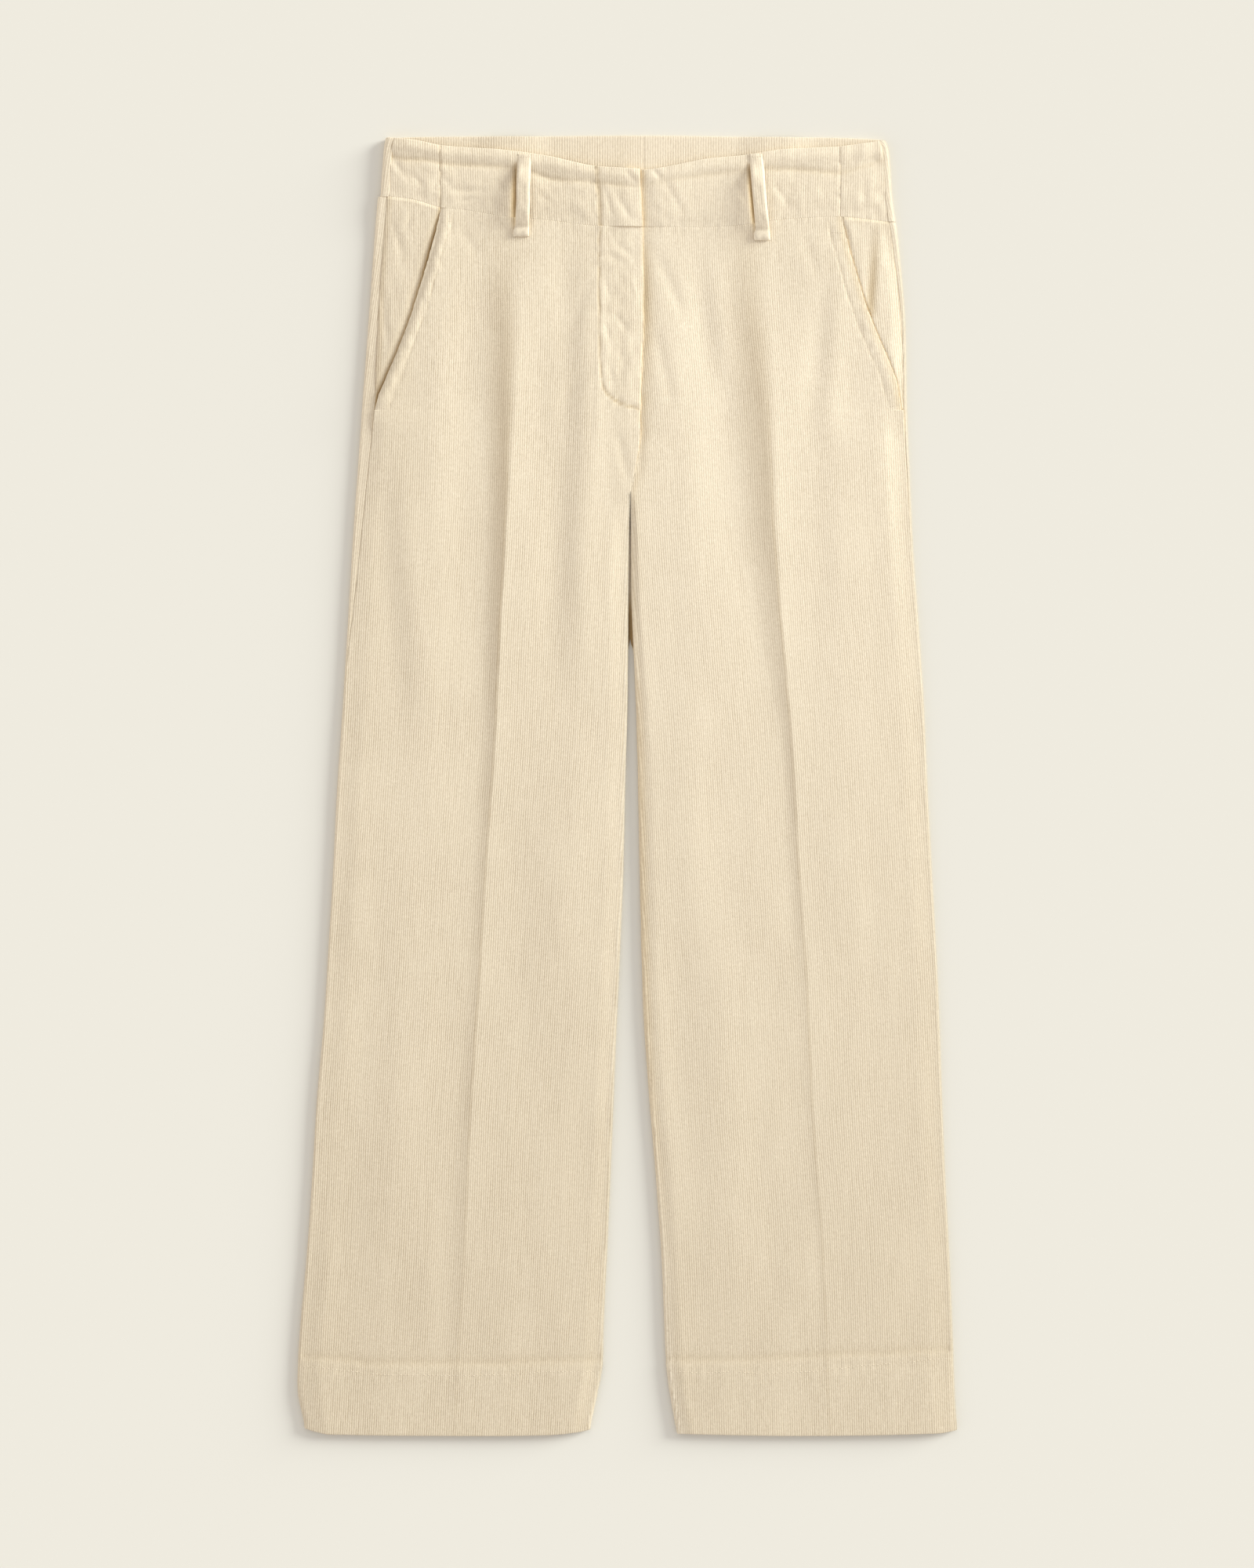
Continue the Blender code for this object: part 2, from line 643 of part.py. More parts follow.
def back_row(side, y):
    """The back's points at one height, from the side seam round the fold to its inner edge."""
    sign = SIGN[side]
    edge = outer_x(side, y)
    seam = seam_arc(read(SIDE_SEAM[side], "inset", y), LEG_FOLD_RADIUS) - SEAM_GAP / 2.0
    low = -SEAM_GAP / 2.0
    row = []
    arcs = [mix(seam, low, share) for share in BACK_UPTURN] + list(BACK_UNDER_ARCS)
    for arc in arcs:
        distance, z, out, up = fold_point(arc, LEG_FOLD_RADIUS, LEG_HEIGHT)
        x = edge - sign * distance
        if arc > LEG_FOLD_RADIUS * math.pi / 2.0:
            rise = slope_share(distance, LEG_FOLD_RADIUS)
            z = mix(2.0 * LEG_FOLD_RADIUS, base_height(side, x, y), rise)
        row.append(((x, y, z), (sign * out, up)))
    start = row[-1][0][0]
    seam_x = read(CENTRE_BACK, "x", y) + sign * SEAM_GAP / 2.0
    inner_x = read(INNER_EDGE[side], "x", y)
    apart = between(y, BACK_FORK, BACK_FORK_END)
    inner_edge = []
    for arc in BACK_INNER_ARCS:
        distance, z, out, up = fold_point(arc, LEG_FOLD_RADIUS, LEG_HEIGHT)
        folded = (inner_x + sign * distance, y, z)
        flat = (seam_x + sign * (-arc - INSEAM_ARC), y, 0.0)
        normal = blend_points((0.0, -1.0), (-sign * out, up), apart)
        length = math.hypot(*normal)
        normal = (normal[0] / length, normal[1] / length)
        inner_edge.append((blend_points(flat, folded, apart), normal))
    end = inner_edge[0][0][0]
    row += [((mix(start, end, share), y, 0.0), (0.0, -1.0)) for share in BACK_MIDDLE]
    return row + inner_edge


def build_back(side):
    outer = []
    inner = []
    for y in LEG_ROWS:
        outer_row = []
        inner_row = []
        for index, (point, normal) in enumerate(back_row(side, y)):
            thickness = wall_here(side, point[0], y)
            layer = "front" if index < len(BACK_UPTURN) else "back"
            point = (point[0], row_y(side, layer, point[0], y), point[2])
            outer_row.append(point)
            inner_row.append(offset(point, normal, thickness))
        outer.append(outer_row)
        inner.append(inner_row)
    return wall("back_" + side, outer, inner, COLOURS["back"])


# ---------------------------------------------------------------- pocket facings

HIP_SHARES = (0.0, 0.25, 0.5, 0.75, 1.0)


def build_hip_panel(side):
    """The facing behind a pocket mouth, from the side seam to just under the front."""
    sign = SIGN[side]
    outer = []
    inner = []
    rows = [y for y in LEG_ROWS if y > HIP_PANEL_FOOT] + [HIP_PANEL_FOOT]
    for y in rows:
        seam = read(SIDE_SEAM[side], "inset", y) + SEAM_GAP / 2.0
        reach = inset(side, read(POCKET_MOUTH[side], "x", y), y) + POCKET_TURN
        outer_row = []
        inner_row = []
        for share in HIP_SHARES:
            distance = mix(seam, reach, share)
            x = outer_x(side, y) - sign * distance
            arc = seam_arc(distance, LEG_FOLD_RADIUS)
            height = base_height(side, x, y)
            distance, z, out, up = fold_point(arc, LEG_FOLD_RADIUS, height)
            point = (x, row_y(side, "front", x, y), z)
            outer_row.append(point)
            inner_row.append(offset(point, (sign * out, up), CLOTH))
        outer.append(outer_row)
        inner.append(inner_row)
    return wall("hip_panel_" + side, outer, inner, COLOURS["hip"])


# ---------------------------------------------------------------- waistband

BandRow = namedtuple("BandRow", "share relief")
BAND_CREST = 0.1
BAND_ROWS = [
    BandRow(0.0, -0.25), BandRow(0.05, 0.0), BandRow(0.3, 0.05), BandRow(0.55, -0.1),
    BandRow(0.68, -0.55), BandRow(0.82, -0.15), BandRow(0.94, BAND_CREST),
    BandRow(1.0, -0.3),
]
BAND_FRONT_SHARES = (0.0, 0.08, 0.2, 0.36, 0.52, 0.68, 0.84, 1.0)
BAND_SIDE_SHARES = (0.0, 0.3, 0.65, 1.0)
BAND_ARC_SHARES = (0.0, 0.2, 0.4, 0.6, 0.8, 1.0)


def band_y(layer, x, share):
    table = WAIST_FRONT if layer == "front" else WAIST_BACK
    return mix(read(table, "bottom", x), read(table, "top", x), share)


def fold_y(side, share):
    """Height of the waistband's side fold, between its lower seam and its top edge."""
    return band_y("front", SIGN[side] * SIDE_FOLD_X, share)


def band_height(side, x, y, relief):
    """Height of the front waistband's outer face, with the lap at the centre."""
    lap = read(CENTRE_FRONT, "x", y)
    height = BAND_HEIGHT + relief
    if side == "left":
        return mix(OVER_BAND_HEIGHT, height, between(lap - x, *BAND_LAP_BLEND))
    return mix(UNDER_BAND_HEIGHT, height, between(x - lap, *BAND_LAP_BLEND))


def band_strip(name, side, xs):
    """A stretch of the front waistband between two upright seams."""
    outer = []
    inner = []
    for row in BAND_ROWS:
        outer_row = []
        inner_row = []
        for x_of in xs:
            x = x_of(row.share)
            y = band_y("front", x, row.share)
            distance = inset(side, x, y)
            share = slope_share(distance, BAND_FOLD_RADIUS)
            z = mix(2.0 * BAND_FOLD_RADIUS, band_height(side, x, y, row.relief), share)
            point = (x, y, z)
            outer_row.append(point)
            inner_row.append(offset(point, (0.0, 1.0), BAND_CLOTH))
        outer.append(outer_row)
        inner.append(inner_row)
    return wall(name, outer, inner, COLOURS["band"])


def build_band_front(side):
    sign = SIGN[side]
    seam = BAND_SEAM_X[side] - sign * SEAM_GAP / 2.0

    def column(share):
        def x_of(up):
            lap = read(CENTRE_FRONT, "x", mix(*BAND_ENDS, up))
            end = lap if side == "left" else lap - UNDERLAP_WIDTH
            return mix(end, seam, share)
        return x_of

    return band_strip("waistband_front_" + side, side, [column(s) for s in BAND_FRONT_SHARES])


def build_band_side(side):
    sign = SIGN[side]
    start = BAND_SEAM_X[side] + sign * SEAM_GAP / 2.0

    def column(share):
        def x_of(up):
            y = fold_y(side, up)
            seam = read(SIDE_SEAM[side], "inset", y) + SEAM_GAP / 2.0
            return mix(start, outer_x(side, y) - sign * seam, share)
        return x_of

    return band_strip("waistband_side_" + side, side, [column(s) for s in BAND_SIDE_SHARES])


def back_loop_lift(x, share):
    """How far the back waistband lies above the floor over a back loop."""
    lift = max(1.0 - between(abs(x - middle), *BACK_LOOP_HUMP) for middle in BACK_LOOP_X)
    return BACK_LOOP_LIFT * lift * between(share, 0.0, BAND_ROWS[1].share)


def build_band_back(side):
    """From the side seam round the fold and along the floor to the centre back."""
    sign = SIGN[side]
    loop = BACK_LOOP_X[side == "right"]
    centre = read(CENTRE_BACK, "x", BAND_MIDDLE) + sign * SEAM_GAP / 2.0
    flat, foot = BACK_LOOP_HUMP
    floor_xs = [loop + sign * step for step in (BACK_LOOP_FLANK, foot, flat, -flat, -foot)]
    floor_xs += [mix(loop, centre, 0.6), centre]
    outer = []
    inner = []
    for row in BAND_ROWS:
        y = fold_y(side, row.share)
        edge = outer_x(side, y)
        seam = seam_arc(read(SIDE_SEAM[side], "inset", y), BAND_FOLD_RADIUS) - SEAM_GAP / 2.0
        points = []
        for share in BAND_ARC_SHARES:
            arc = mix(seam, -BAND_FOLD_RADIUS * math.pi / 2.0, share)
            height = BAND_HEIGHT + row.relief
            distance, z, out, up = fold_point(arc, BAND_FOLD_RADIUS, height)
            x = edge - sign * distance
            if arc > BAND_FOLD_RADIUS * math.pi / 2.0:
                out, up = 0.0, 1.0
            layer = "front" if arc > 0.0 else "back"
            points.append(((x, band_y(layer, x, row.share), z), (sign * out, up)))
        for x in floor_xs:
            z = back_loop_lift(x, row.share)
            points.append(((x, band_y("back", x, row.share), z), (0.0, -1.0)))
        outer.append([point for point, normal in points])
        inner.append([offset(point, normal, BAND_CLOTH) for point, normal in points])
    return wall("waistband_back_" + side, outer, inner, COLOURS["band"])


# ---------------------------------------------------------------- belt loops

LoopRow = namedtuple("LoopRow", "share rise cloth")
LOOP_ROWS = [
    LoopRow(0.0, 0.0, 0.9), LoopRow(0.1, 0.0, 1.0), LoopRow(0.17, 0.18, 1.0),
    LoopRow(0.25, 0.62, 1.0), LoopRow(0.33, 0.93, 1.0), LoopRow(0.42, 1.0, 1.0),
    LoopRow(0.6, 1.0, 1.0), LoopRow(0.69, 0.93, 1.0), LoopRow(0.77, 0.6, 1.0),
    LoopRow(0.84, 0.2, 1.0), LoopRow(0.88, 0.0, 1.1), LoopRow(1.0, 0.0, 1.2),
]
LoopColumn = namedtuple("LoopColumn", "across drop")
LOOP_COLUMNS = [
    LoopColumn(-0.5, 0.45), LoopColumn(-0.42, 0.0), LoopColumn(0.42, 0.0), LoopColumn(0.5, 0.45),
]


def seat_height(side, x, y):
    """Height of the waistband, or of the front below it, under a belt loop."""
    band_bottom = read(WAIST_FRONT, "bottom", x)
    heights = []
    for step in (-LOOP_WIDTH / 2.0, 0.0, LOOP_WIDTH / 2.0):
        if y > band_bottom - FOOT_MARGIN:
            heights.append(band_height(side, x + step, y, BAND_CREST))
        else:
            heights.append(base_height(side, x + step, y) + front_lift(side, x + step, y))
    return max(heights) + LAYER_GAP


def build_loop(side):
    loop = FRONT_LOOPS[side]
    outer = []
    inner = []
    for row in LOOP_ROWS:
        middle = mix(loop.x_top, loop.x_bottom, row.share)
        y = mix(loop.y_top, loop.y_bottom, row.share)
        seat = seat_height(side, middle, y) + LOOP_RISE * row.rise
        top = seat + LOOP_CLOTH * row.cloth
        outer.append([(middle + LOOP_WIDTH * c.across, y, top - c.drop) for c in LOOP_COLUMNS])
        inner.append([(middle + LOOP_WIDTH * c.across, y, seat) for c in LOOP_COLUMNS])
    return wall("belt_loop_" + side, outer, inner, COLOURS["loop"])


BACK_LOOP_ENDS = (0.07, 0.5, 0.93)


def build_back_loop(side):
    """A flat loop pressed between the floor and the back waistband."""
    middle = BACK_LOOP_X[side == "right"]
    outer = []
    inner = []
    for share in BACK_LOOP_ENDS:
        y = band_y("back", middle, share)
        xs = [middle + BACK_LOOP_WIDTH * step for step in (-0.5, 0.0, 0.5)]
        outer.append([(x, y, BACK_LOOP_CLOTH) for x in xs])
        inner.append([(x, y, 0.0) for x in xs])
    return wall("belt_loop_back_" + side, outer, inner, COLOURS["loop"])


# ---------------------------------------------------------------- the garment


def clear_scene():
    for old in list(bpy.data.objects):
        bpy.data.objects.remove(old, do_unlink=True)


def main():
    clear_scene()
    for side in ("left", "right"):
        build_front(side)
        build_back(side)
        build_hip_panel(side)
        build_band_front(side)
        build_band_side(side)
        build_band_back(side)
        build_loop(side)
        build_back_loop(side)


main()
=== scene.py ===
"""Wide-leg corduroy trousers laid flat with the front up: cloth, stitching, light and camera.

Every piece of cloth is a thin shell whose outer face carries the raised wales of the corduroy.
The sizes are in millimetres, X across the garment, Y up to the waist and Z out of the front.
"""

import math
from collections import namedtuple

import bpy
import numpy as np
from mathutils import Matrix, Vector
from mathutils.bvhtree import BVHTree


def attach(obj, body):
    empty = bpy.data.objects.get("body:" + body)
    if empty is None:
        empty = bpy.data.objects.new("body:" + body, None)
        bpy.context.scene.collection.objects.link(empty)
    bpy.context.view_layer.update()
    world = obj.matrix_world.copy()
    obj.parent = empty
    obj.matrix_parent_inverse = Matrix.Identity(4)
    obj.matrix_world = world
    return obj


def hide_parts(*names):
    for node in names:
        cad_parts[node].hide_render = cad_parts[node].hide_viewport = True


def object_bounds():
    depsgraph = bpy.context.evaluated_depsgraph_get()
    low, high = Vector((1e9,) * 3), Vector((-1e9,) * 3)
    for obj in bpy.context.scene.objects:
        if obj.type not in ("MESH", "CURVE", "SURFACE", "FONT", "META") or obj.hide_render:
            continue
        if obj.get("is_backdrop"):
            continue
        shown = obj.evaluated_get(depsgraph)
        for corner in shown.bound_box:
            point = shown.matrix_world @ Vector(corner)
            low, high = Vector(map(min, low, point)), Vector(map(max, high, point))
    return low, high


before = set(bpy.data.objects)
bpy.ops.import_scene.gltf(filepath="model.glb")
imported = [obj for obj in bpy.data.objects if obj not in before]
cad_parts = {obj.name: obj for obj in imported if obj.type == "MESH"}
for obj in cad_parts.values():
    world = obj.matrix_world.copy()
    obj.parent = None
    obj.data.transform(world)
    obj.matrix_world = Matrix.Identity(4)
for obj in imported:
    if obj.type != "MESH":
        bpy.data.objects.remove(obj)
cad_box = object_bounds()

MM = 0.001
# Which way each side lies from the middle line
SIGN = {"left": -1, "right": 1}

# Cloth
CLOTH = 1.5
BAND_CLOTH = 2.2
HEM_CLOTH = 2.05
LOOP_CLOTH = 2
BACK_LOOP_CLOTH = 1.2
SEAM_GAP = 0.04
LAYER_GAP = 0.3

# Corduroy: the wales' spacing on the legs, the waistband and its inner face, their height, how
# far their crests stand proud of the solid, and how they wander and wear down in places
WALE = 1.75
BAND_WALE = 1.87
INNER_BAND_WALE = 2
WALE_DEPTH = 0.24
WALE_PROUD = 0.08
WALE_WANDER = ((0.2, 14, 60), (0.15, 1.9, 6))
WALE_WEAR = 0.25
RIGHT_WEAR = 0.86
EDGE_STEPS = np.array([0, 0.22, 0.6])
EDGE_SNAP = 0.2
SEAM_ROLL = 0.2
SIDE_ROLL = {"left": 0.2, "right": 0.04}
SEAM_ROLL_WIDTH = 1.5
WAIST_ROLL = 0.07
BESIDE_WAIST = (WAIST_ROLL, SEAM_ROLL, WAIST_ROLL)

# Heights of the outer face of the front above the floor
LEG_HEIGHT = [(-514, 4.65), (40, 4.7), (160, 5), (260, 5.6), (300, 5.8)]
WAIST_HEIGHT = 6
HEM_HEIGHT = 4.95
BAND_HEIGHT = 6.6
LOWEST_FRONT = 2 * CLOTH + LAYER_GAP + 0.1
LOWEST_HEM = 2 * HEM_CLOTH + LAYER_GAP + 0.1
HIGHEST_FRONT = 2 * CLOTH + 6

# Folded edges of the legs and of the waistband
LEG_FOLD = 2
LEG_FOLD_AT_WAIST = 2.85
FOLD_WIDENS = (415, 447)
BAND_FOLD = 3
EDGE_SLOPE_WIDTH = 20
# (y, width of the slope beside the leg's inner fold)
INNER_SLOPE = {"left": [(-514, 16), (231, 16)], "right": [(-514, 14), (0, 12), (120, 8), (231, 4.5)]}
INSEAM_ARC = 0.15

# Heights along the garment, measured up from its middle
WAIST_SEAM = 447
WAIST_ROW = 447.12
SEAM_SHIFT_FADE = 110
POCKET_FOOT = 297
POCKET_LEVEL_END = 272
HIP_PANEL_FOOT = 297.04
FLY_FOOT = 297
LAP_END = 286
LAP_LEVEL_END = 262
FRONT_FORK = 231
FORK_OPEN_END = 196
BACK_FORK = 117
BACK_FORK_END = 98
HEM_LINE = -462
HEM_LINE_BLUR = 5
HEM_CORNER_REACH = 60
BOTTOM = -513
WAIST_BLEND = (300, 440)
BAND_MIDDLE = 490
BAND_ENDS = (442, 488)
SIDE_FOLD_X = 199

# Fly, pockets and waistband
UNDERLAP_WIDTH = 11.5
UNDERLAP_HEIGHT = 4.6
UNDERLAP_REACH = 9
UNDERLAP_END = 12
FLY_WIDTH = 33
FLY_RAISE = 0.35
FLY_RAISE_FADE = 6
HIP_HEIGHT = 4.3
HIP_TOP = 6
HIP_TOP_REACH = (402, 449)
HIP_REACH = (34, 72)
HIP_BLEND = 6
POCKET_TURN = 16
POCKET_LIFT = CLOTH + LAYER_GAP + 0.05
POCKET_LIFT_FADE = (4, 62)
POCKET_GAPE = 0.8
POCKET_BAND = 10
POCKET_BAND_PUFF = {"left": 0.42, "right": 0.22}
POCKET_GAPE_REACH = 22
POCKET_GAPE_BLEND = (-2, 8)
UNDER_BAND_HEIGHT = BAND_CLOTH * 2 + LAYER_GAP + 0.2
OVER_BAND_HEIGHT = UNDER_BAND_HEIGHT + BAND_CLOTH + LAYER_GAP
BAND_LAP_BLEND = (15, 38)
UNDER_BAND_REACH = 9

# Belt loops
LOOP_WIDTH = 10.8
LOOP_RISE = 4.8
BACK_LOOP_LIFT = BACK_LOOP_CLOTH + LAYER_GAP
BACK_LOOP_X = {"left": -92, "right": 118}
BACK_LOOP_HUMP = (6, 34)
BACK_LOOP_LIFT_SHARE = 0.05

# (y, distance of the outer edge from the middle line)
OUTLINE = {
    "left": [
        (514.6, 191), (503, 192.9), (466, 195.6), (435, 198.7), (373, 204.3), (311, 209.2),
        (249, 213.6), (187, 217.9), (125, 221.6), (63, 225.4), (1, 229.7), (-61, 232.8), (-123, 236.5),
        (-185, 240.3), (-247, 245.8), (-309, 249.6), (-371, 253.9), (-433, 259.5), (-458, 260.9),
        (-484, 260.9), (-509, 256),
    ],
    "right": [
        (514.6, 201), (509, 204.6), (503, 206.9), (485, 208.6), (466, 209.9), (435, 214.2),
        (404, 217.3), (373, 219.8), (342, 220.9), (311, 221.2), (274, 222.3), (249, 223.5),
        (187, 226.4), (125, 230.9), (63, 235), (1, 237.6), (-61, 240.9), (-123, 244.3), (-185, 247.2),
        (-247, 249.3), (-309, 251.8), (-371, 255), (-433, 257.6), (-484, 259.4), (-512, 261.2),
    ],
}

# (y, x of the leg's inner edge)
INNER_EDGE = {
    "left": [
        (231, 2.05), (212, 1.9), (190, 1.5), (160, 1.1), (140, 0.9), (63, 0.2), (1, -1.6), (-61, -2.9),
        (-123, -5.3), (-185, -8.2), (-309, -13.4), (-433, -18.9), (-458, -19.7), (-484, -24.2),
        (-510, -29.5),
    ],
    "right": [
        (231, 2.35), (212, 2.5), (190, 2.7), (160, 2.95), (140, 3.3), (94, 5.4), (63, 6.8), (1, 8.4),
        (-61, 9.6), (-123, 10.9), (-185, 13), (-247, 17.3), (-309, 22.4), (-371, 26.8), (-433, 29.5),
        (-458, 30.9), (-484, 34.4), (-513, 39.7),
    ],
}

# (y, x): the lap's edge and the centre front seam, and the centre back seam
CENTRE_FRONT = [
    (490, 9.6), (441, 12.1), (404, 12.3), (362, 12.6), (330, 11.5), (297, 10.2), (274, 9.9), (249, 6),
    (231, 2.2),
]
CENTRE_BACK = [(514, 13.4), (447, 13), (300, 8), (200, 3.4), (117, 2.1)]

# (y, x, drop from the ridge to the trough on its left, width of that flank)
CREASE = {
    "left": [
        (441, -92, 0.2, 26), (400, -92, 1.9, 26), (360, -91.5, 2.9, 24), (320, -92.5, 3.3, 22),
        (260, -94.2, 3.4, 19), (200, -96.4, 3.3, 17), (120, -100.6, 2.6, 14), (40, -104.4, 1.8, 13),
        (-60, -111.2, 1.1, 12), (-160, -117.2, 0.85, 12), (-260, -123.6, 0.95, 13),
        (-360, -128, 0.6, 14), (-464, -133.9, 0.25, 11), (-514, -136.5, 0.2, 11),
    ],
    "right": [
        (441, 101, 1, 28), (400, 103, 2.4, 30), (360, 106, 3.5, 31), (320, 110, 3.7, 31),
        (260, 113.8, 3.5, 28), (200, 116.6, 3.1, 26), (120, 123, 2.2, 20), (40, 130, 1.4, 10.5),
        (-60, 136, 1, 11), (-160, 142.8, 0.5, 11), (-260, 147.6, 0.42, 9), (-360, 154.8, 0.3, 7),
        (-464, 159, 0.14, 7), (-514, 160.5, 0.12, 7),
    ],
}
# (y, how far the bend at the ridge is spread out)
CREASE_SOFTNESS = {
    "left": [(-514, 0.6), (120, 0.8), (200, 1.6), (260, 3), (320, 5.5), (360, 7), (400, 8.5), (441, 9)],
    "right": [(-514, 0.6), (120, 1), (200, 3), (260, 4), (320, 6.5), (360, 9), (400, 11), (441, 11)],
}
CREASE_SPREAD = (-1, -0.67, -0.33, 0, 0.33, 0.67, 1)
CREASE_RIDGE_SHARE = 0.52
CREASE_GENTLE = 24
CREASE_RECOVERY = 45

# (y, distance of the side seam inside the outer edge)
SIDE_SEAM = {
    "left": [
        (514, 6.5), (435, 7.4), (373, 7.6), (300, 10), (249, 8.4), (187, 6.2), (150, 4.6), (100, 1.4),
        (63, 0.4), (-514, 0.4),
    ],
    "right": [
        (514, 5), (435, 5.6), (373, 3.6), (300, 3), (249, 2.4), (187, 1), (140, 0.4), (-514, 0.4),
    ],
}

# (y, x, gape): the slanted edge of each pocket mouth
POCKET_MOUTH = {
    "left": [
        (457, -147, 0), (446, -147.9, 0.35), (419.7, -153.9, 1), (379.4, -167.2, 0.6), (339, -184, 0.6),
        (311, -196, 0.9), (POCKET_FOOT, -200, 0.3),
    ],
    "right": [
        (457, 168.4, 0), (437, 171.6, 0.1), (384.4, 187.4, 0.35), (364.6, 194.6, 0.3),
        (323.6, 211.6, 0.1), (POCKET_FOOT, 217, 0),
    ],
}

# (x, y of the lower seam, y of the top edge): the waistband across the front and the back
WAIST_FRONT = [
    (-192, 465.8, 512.6), (-186, 465.6, 512.6), (-168, 463.1, 510.6), (-148, 457.2, 506.5),
    (-128, 455.2, 504.8), (-99, 450.4, 503), (-62, 447, 497.8), (-28, 443, 490.4), (9, 442.1, 487.8),
    (17, 442, 487.4), (36, 441.8, 490.4), (62, 441.6, 495.6), (93, 443.5, 498.6), (120, 447.4, 503),
    (143, 449, 504.2), (167, 449.9, 505.4), (183, 448.6, 507.4), (206, 445.9, 510.8),
]
WAIST_BACK = [
    (-192, 465.8, 512.6), (-160, 462, 513.6), (-60, 458, 514), (13.4, 456.5, 514.6), (90, 453, 513.6),
    (170, 448.5, 512.8), (206, 445.9, 510.8),
]
BAND_SEAM_X = {"left": -148, "right": 168.4}

# (x, y of the leg's lower edge)
HEM_EDGE = {
    "left": [
        (-256, -508.6), (-246, -511.6), (-236, -513.4), (-134, -514.6), (-64, -514), (-40, -511.8),
        (-29, -509.6),
    ],
    "right": [(39, -513), (140, -514.6), (246, -512.6), (261, -510.2)],
}

# Soft folds along the legs, each a trough with a ridge on its right and a rise between them:
# (y and then x of the top and bottom end, width, height)
FOLDS = {
    "left": [
        (436, 250, -38, -42, 10.5, 0.9), (330, 60, -40, -50, 12, 0.85), (390, 240, -60, -62, 9, 0.4),
        (300, 40, -194, -168, 11, 0.5), (380, 250, -150, -138, 14, -0.12),
        (60, -240, -62, -78, 18, 0.35), (-60, -420, -186, -212, 20, 0.35),
    ],
    "right": [
        (436, 310, 58, 74, 8, 0.5), (440, 260, 168, 152, 9, 0.7), (320, 20, 156, 160, 14, 0.25),
        (420, 180, 206, 208, 10, -0.35), (130, -160, 62, 66, 16, -0.35), (-60, -330, 50, 60, 16, 0.3),
        (-200, -440, 92, 98, 16, -0.3),
    ],
}

# Small wrinkles, from one end to the other: (x, y, x, y, width, height), negative for troughs
WRINKLES = {
    "left": [
        (-16, 441, -9, 432, 2, -0.3), (-12, 430, 5, 419, 2.2, -0.55), (-16.5, 421, -2, 413, 1.8, -0.4),
        (-18, 404, -14, 385, 2.4, -0.35), (3, 404, 8, 384, 2.4, 0.25), (-10, 374, 0, 360, 2.6, -0.5),
        (-17, 366, -14, 352, 2.2, -0.35), (-6, 346, -2, 328, 3, -0.35), (-14, 332, -11, 318, 2.4, -0.3),
        (-30, 402, -44, 360, 5, -0.35), (-30, 335, -52, 300, 6, -0.35),
        (-132, 440, -118, 420, 4, -0.35), (-8, 280, 1, 240, 4, -0.4),
    ],
    "right": [
        (24, 420, 44, 372, 5, -0.5), (22, 360, 36, 300, 5, -0.4), (12, 292, 9, 244, 3.6, -0.5),
        (140, 436, 150, 402, 5, -0.4),
    ],
}
HIP_WRINKLES = {
    "left": [
        (-170, 452, -176, 438, 2.6, -0.5), (-186, 446, -178, 420, 3, -0.4),
        (-196, 400, -190, 350, 3.4, -0.5),
    ],
    "right": [(195.5, 444, 191.5, 370, 4.6, -0.55), (204, 440, 208, 410, 4, -0.3)],
}
BAND_WRINKLES = [
    (-190, 500, -172, 478, 2.8, -0.6), (-176, 488, -160, 473, 3, -0.6),
    (-152, 484, -140, 476, 2.4, -0.4), (-142, 471, -112, 470, 2.4, -0.7),
    (-136, 462, -116, 464, 2.2, -0.6), (-106, 480, -96, 470, 2.4, -0.4), (-78, 484, -44, 476, 3, -0.5),
    (-72, 470, -56, 458, 3, -0.4), (-17, 470, -12, 450, 2.4, -0.45), (-9, 468, 3, 448, 2.6, -0.4),
    (-2, 486, 7, 478, 2.2, -0.5), (20, 487, 27, 480, 2.4, -0.7), (30, 478, 44, 452, 3.2, -0.45),
    (84, 480, 94, 462, 2.6, -0.45), (116, 476, 128, 458, 2.8, -0.4), (150, 470, 163, 476, 2.4, -0.4),
    (184, 465, 200, 472, 2.4, -0.65), (179, 452, 198, 457, 2.4, -0.55), (184, 491, 198, 497, 2.4, -0.7),
]

# Sewn lines on the fronts: (x, y) points, in order along the line
SEWN = {
    "left": {
        "fly": [
            (-21.8, 441), (-22.6, 404.2), (-21.4, 337.9), (-20.8, 321.2), (-18.6, 314.6),
            (-15.4, 309.6), (-10.4, 305), (-3.6, 301.4), (3, 299.4), (8.6, 298.2),
        ],
        "pocket": [
            (-137.6, 452), (-140.2, 440), (-147.6, 417), (-158.4, 377.5), (-173.4, 337), (-187.6, 300),
        ],
        "hem": [
            (-257.6, -459.4), (-237.1, -461), (-215.5, -463.8), (-190.6, -466.2), (-124.9, -466.7),
            (-88.4, -465.6), (-66.7, -463.6), (-22.5, -463.5),
        ],
        "allowance": [
            (-258, -454.2), (-216.7, -456.3), (-209.3, -458.6), (-118.7, -458.4), (-103.9, -459),
            (-83.4, -457.6), (-19.5, -456.3),
        ],
    },
    "right": {
        "pocket": [
            (158.2, 446), (161, 434), (168.6, 408), (176.4, 382), (184, 361.6), (198.6, 328),
            (206.8, 303),
        ],
        "hem": [
            (33.4, -463.1), (56.1, -464.4), (87.7, -463.8), (103.2, -465), (147.9, -463.6),
            (172.1, -460.7), (183.8, -458.8), (195.6, -458.2), (223.5, -456), (240.3, -453.8),
            (257.6, -453.2),
        ],
        "allowance": [
            (31.8, -455.7), (91.5, -456.6), (103.2, -455.4), (148.5, -453.2), (176.4, -451.4),
            (203.7, -451.1), (235.3, -448.9), (257, -448.4),
        ],
    },
}

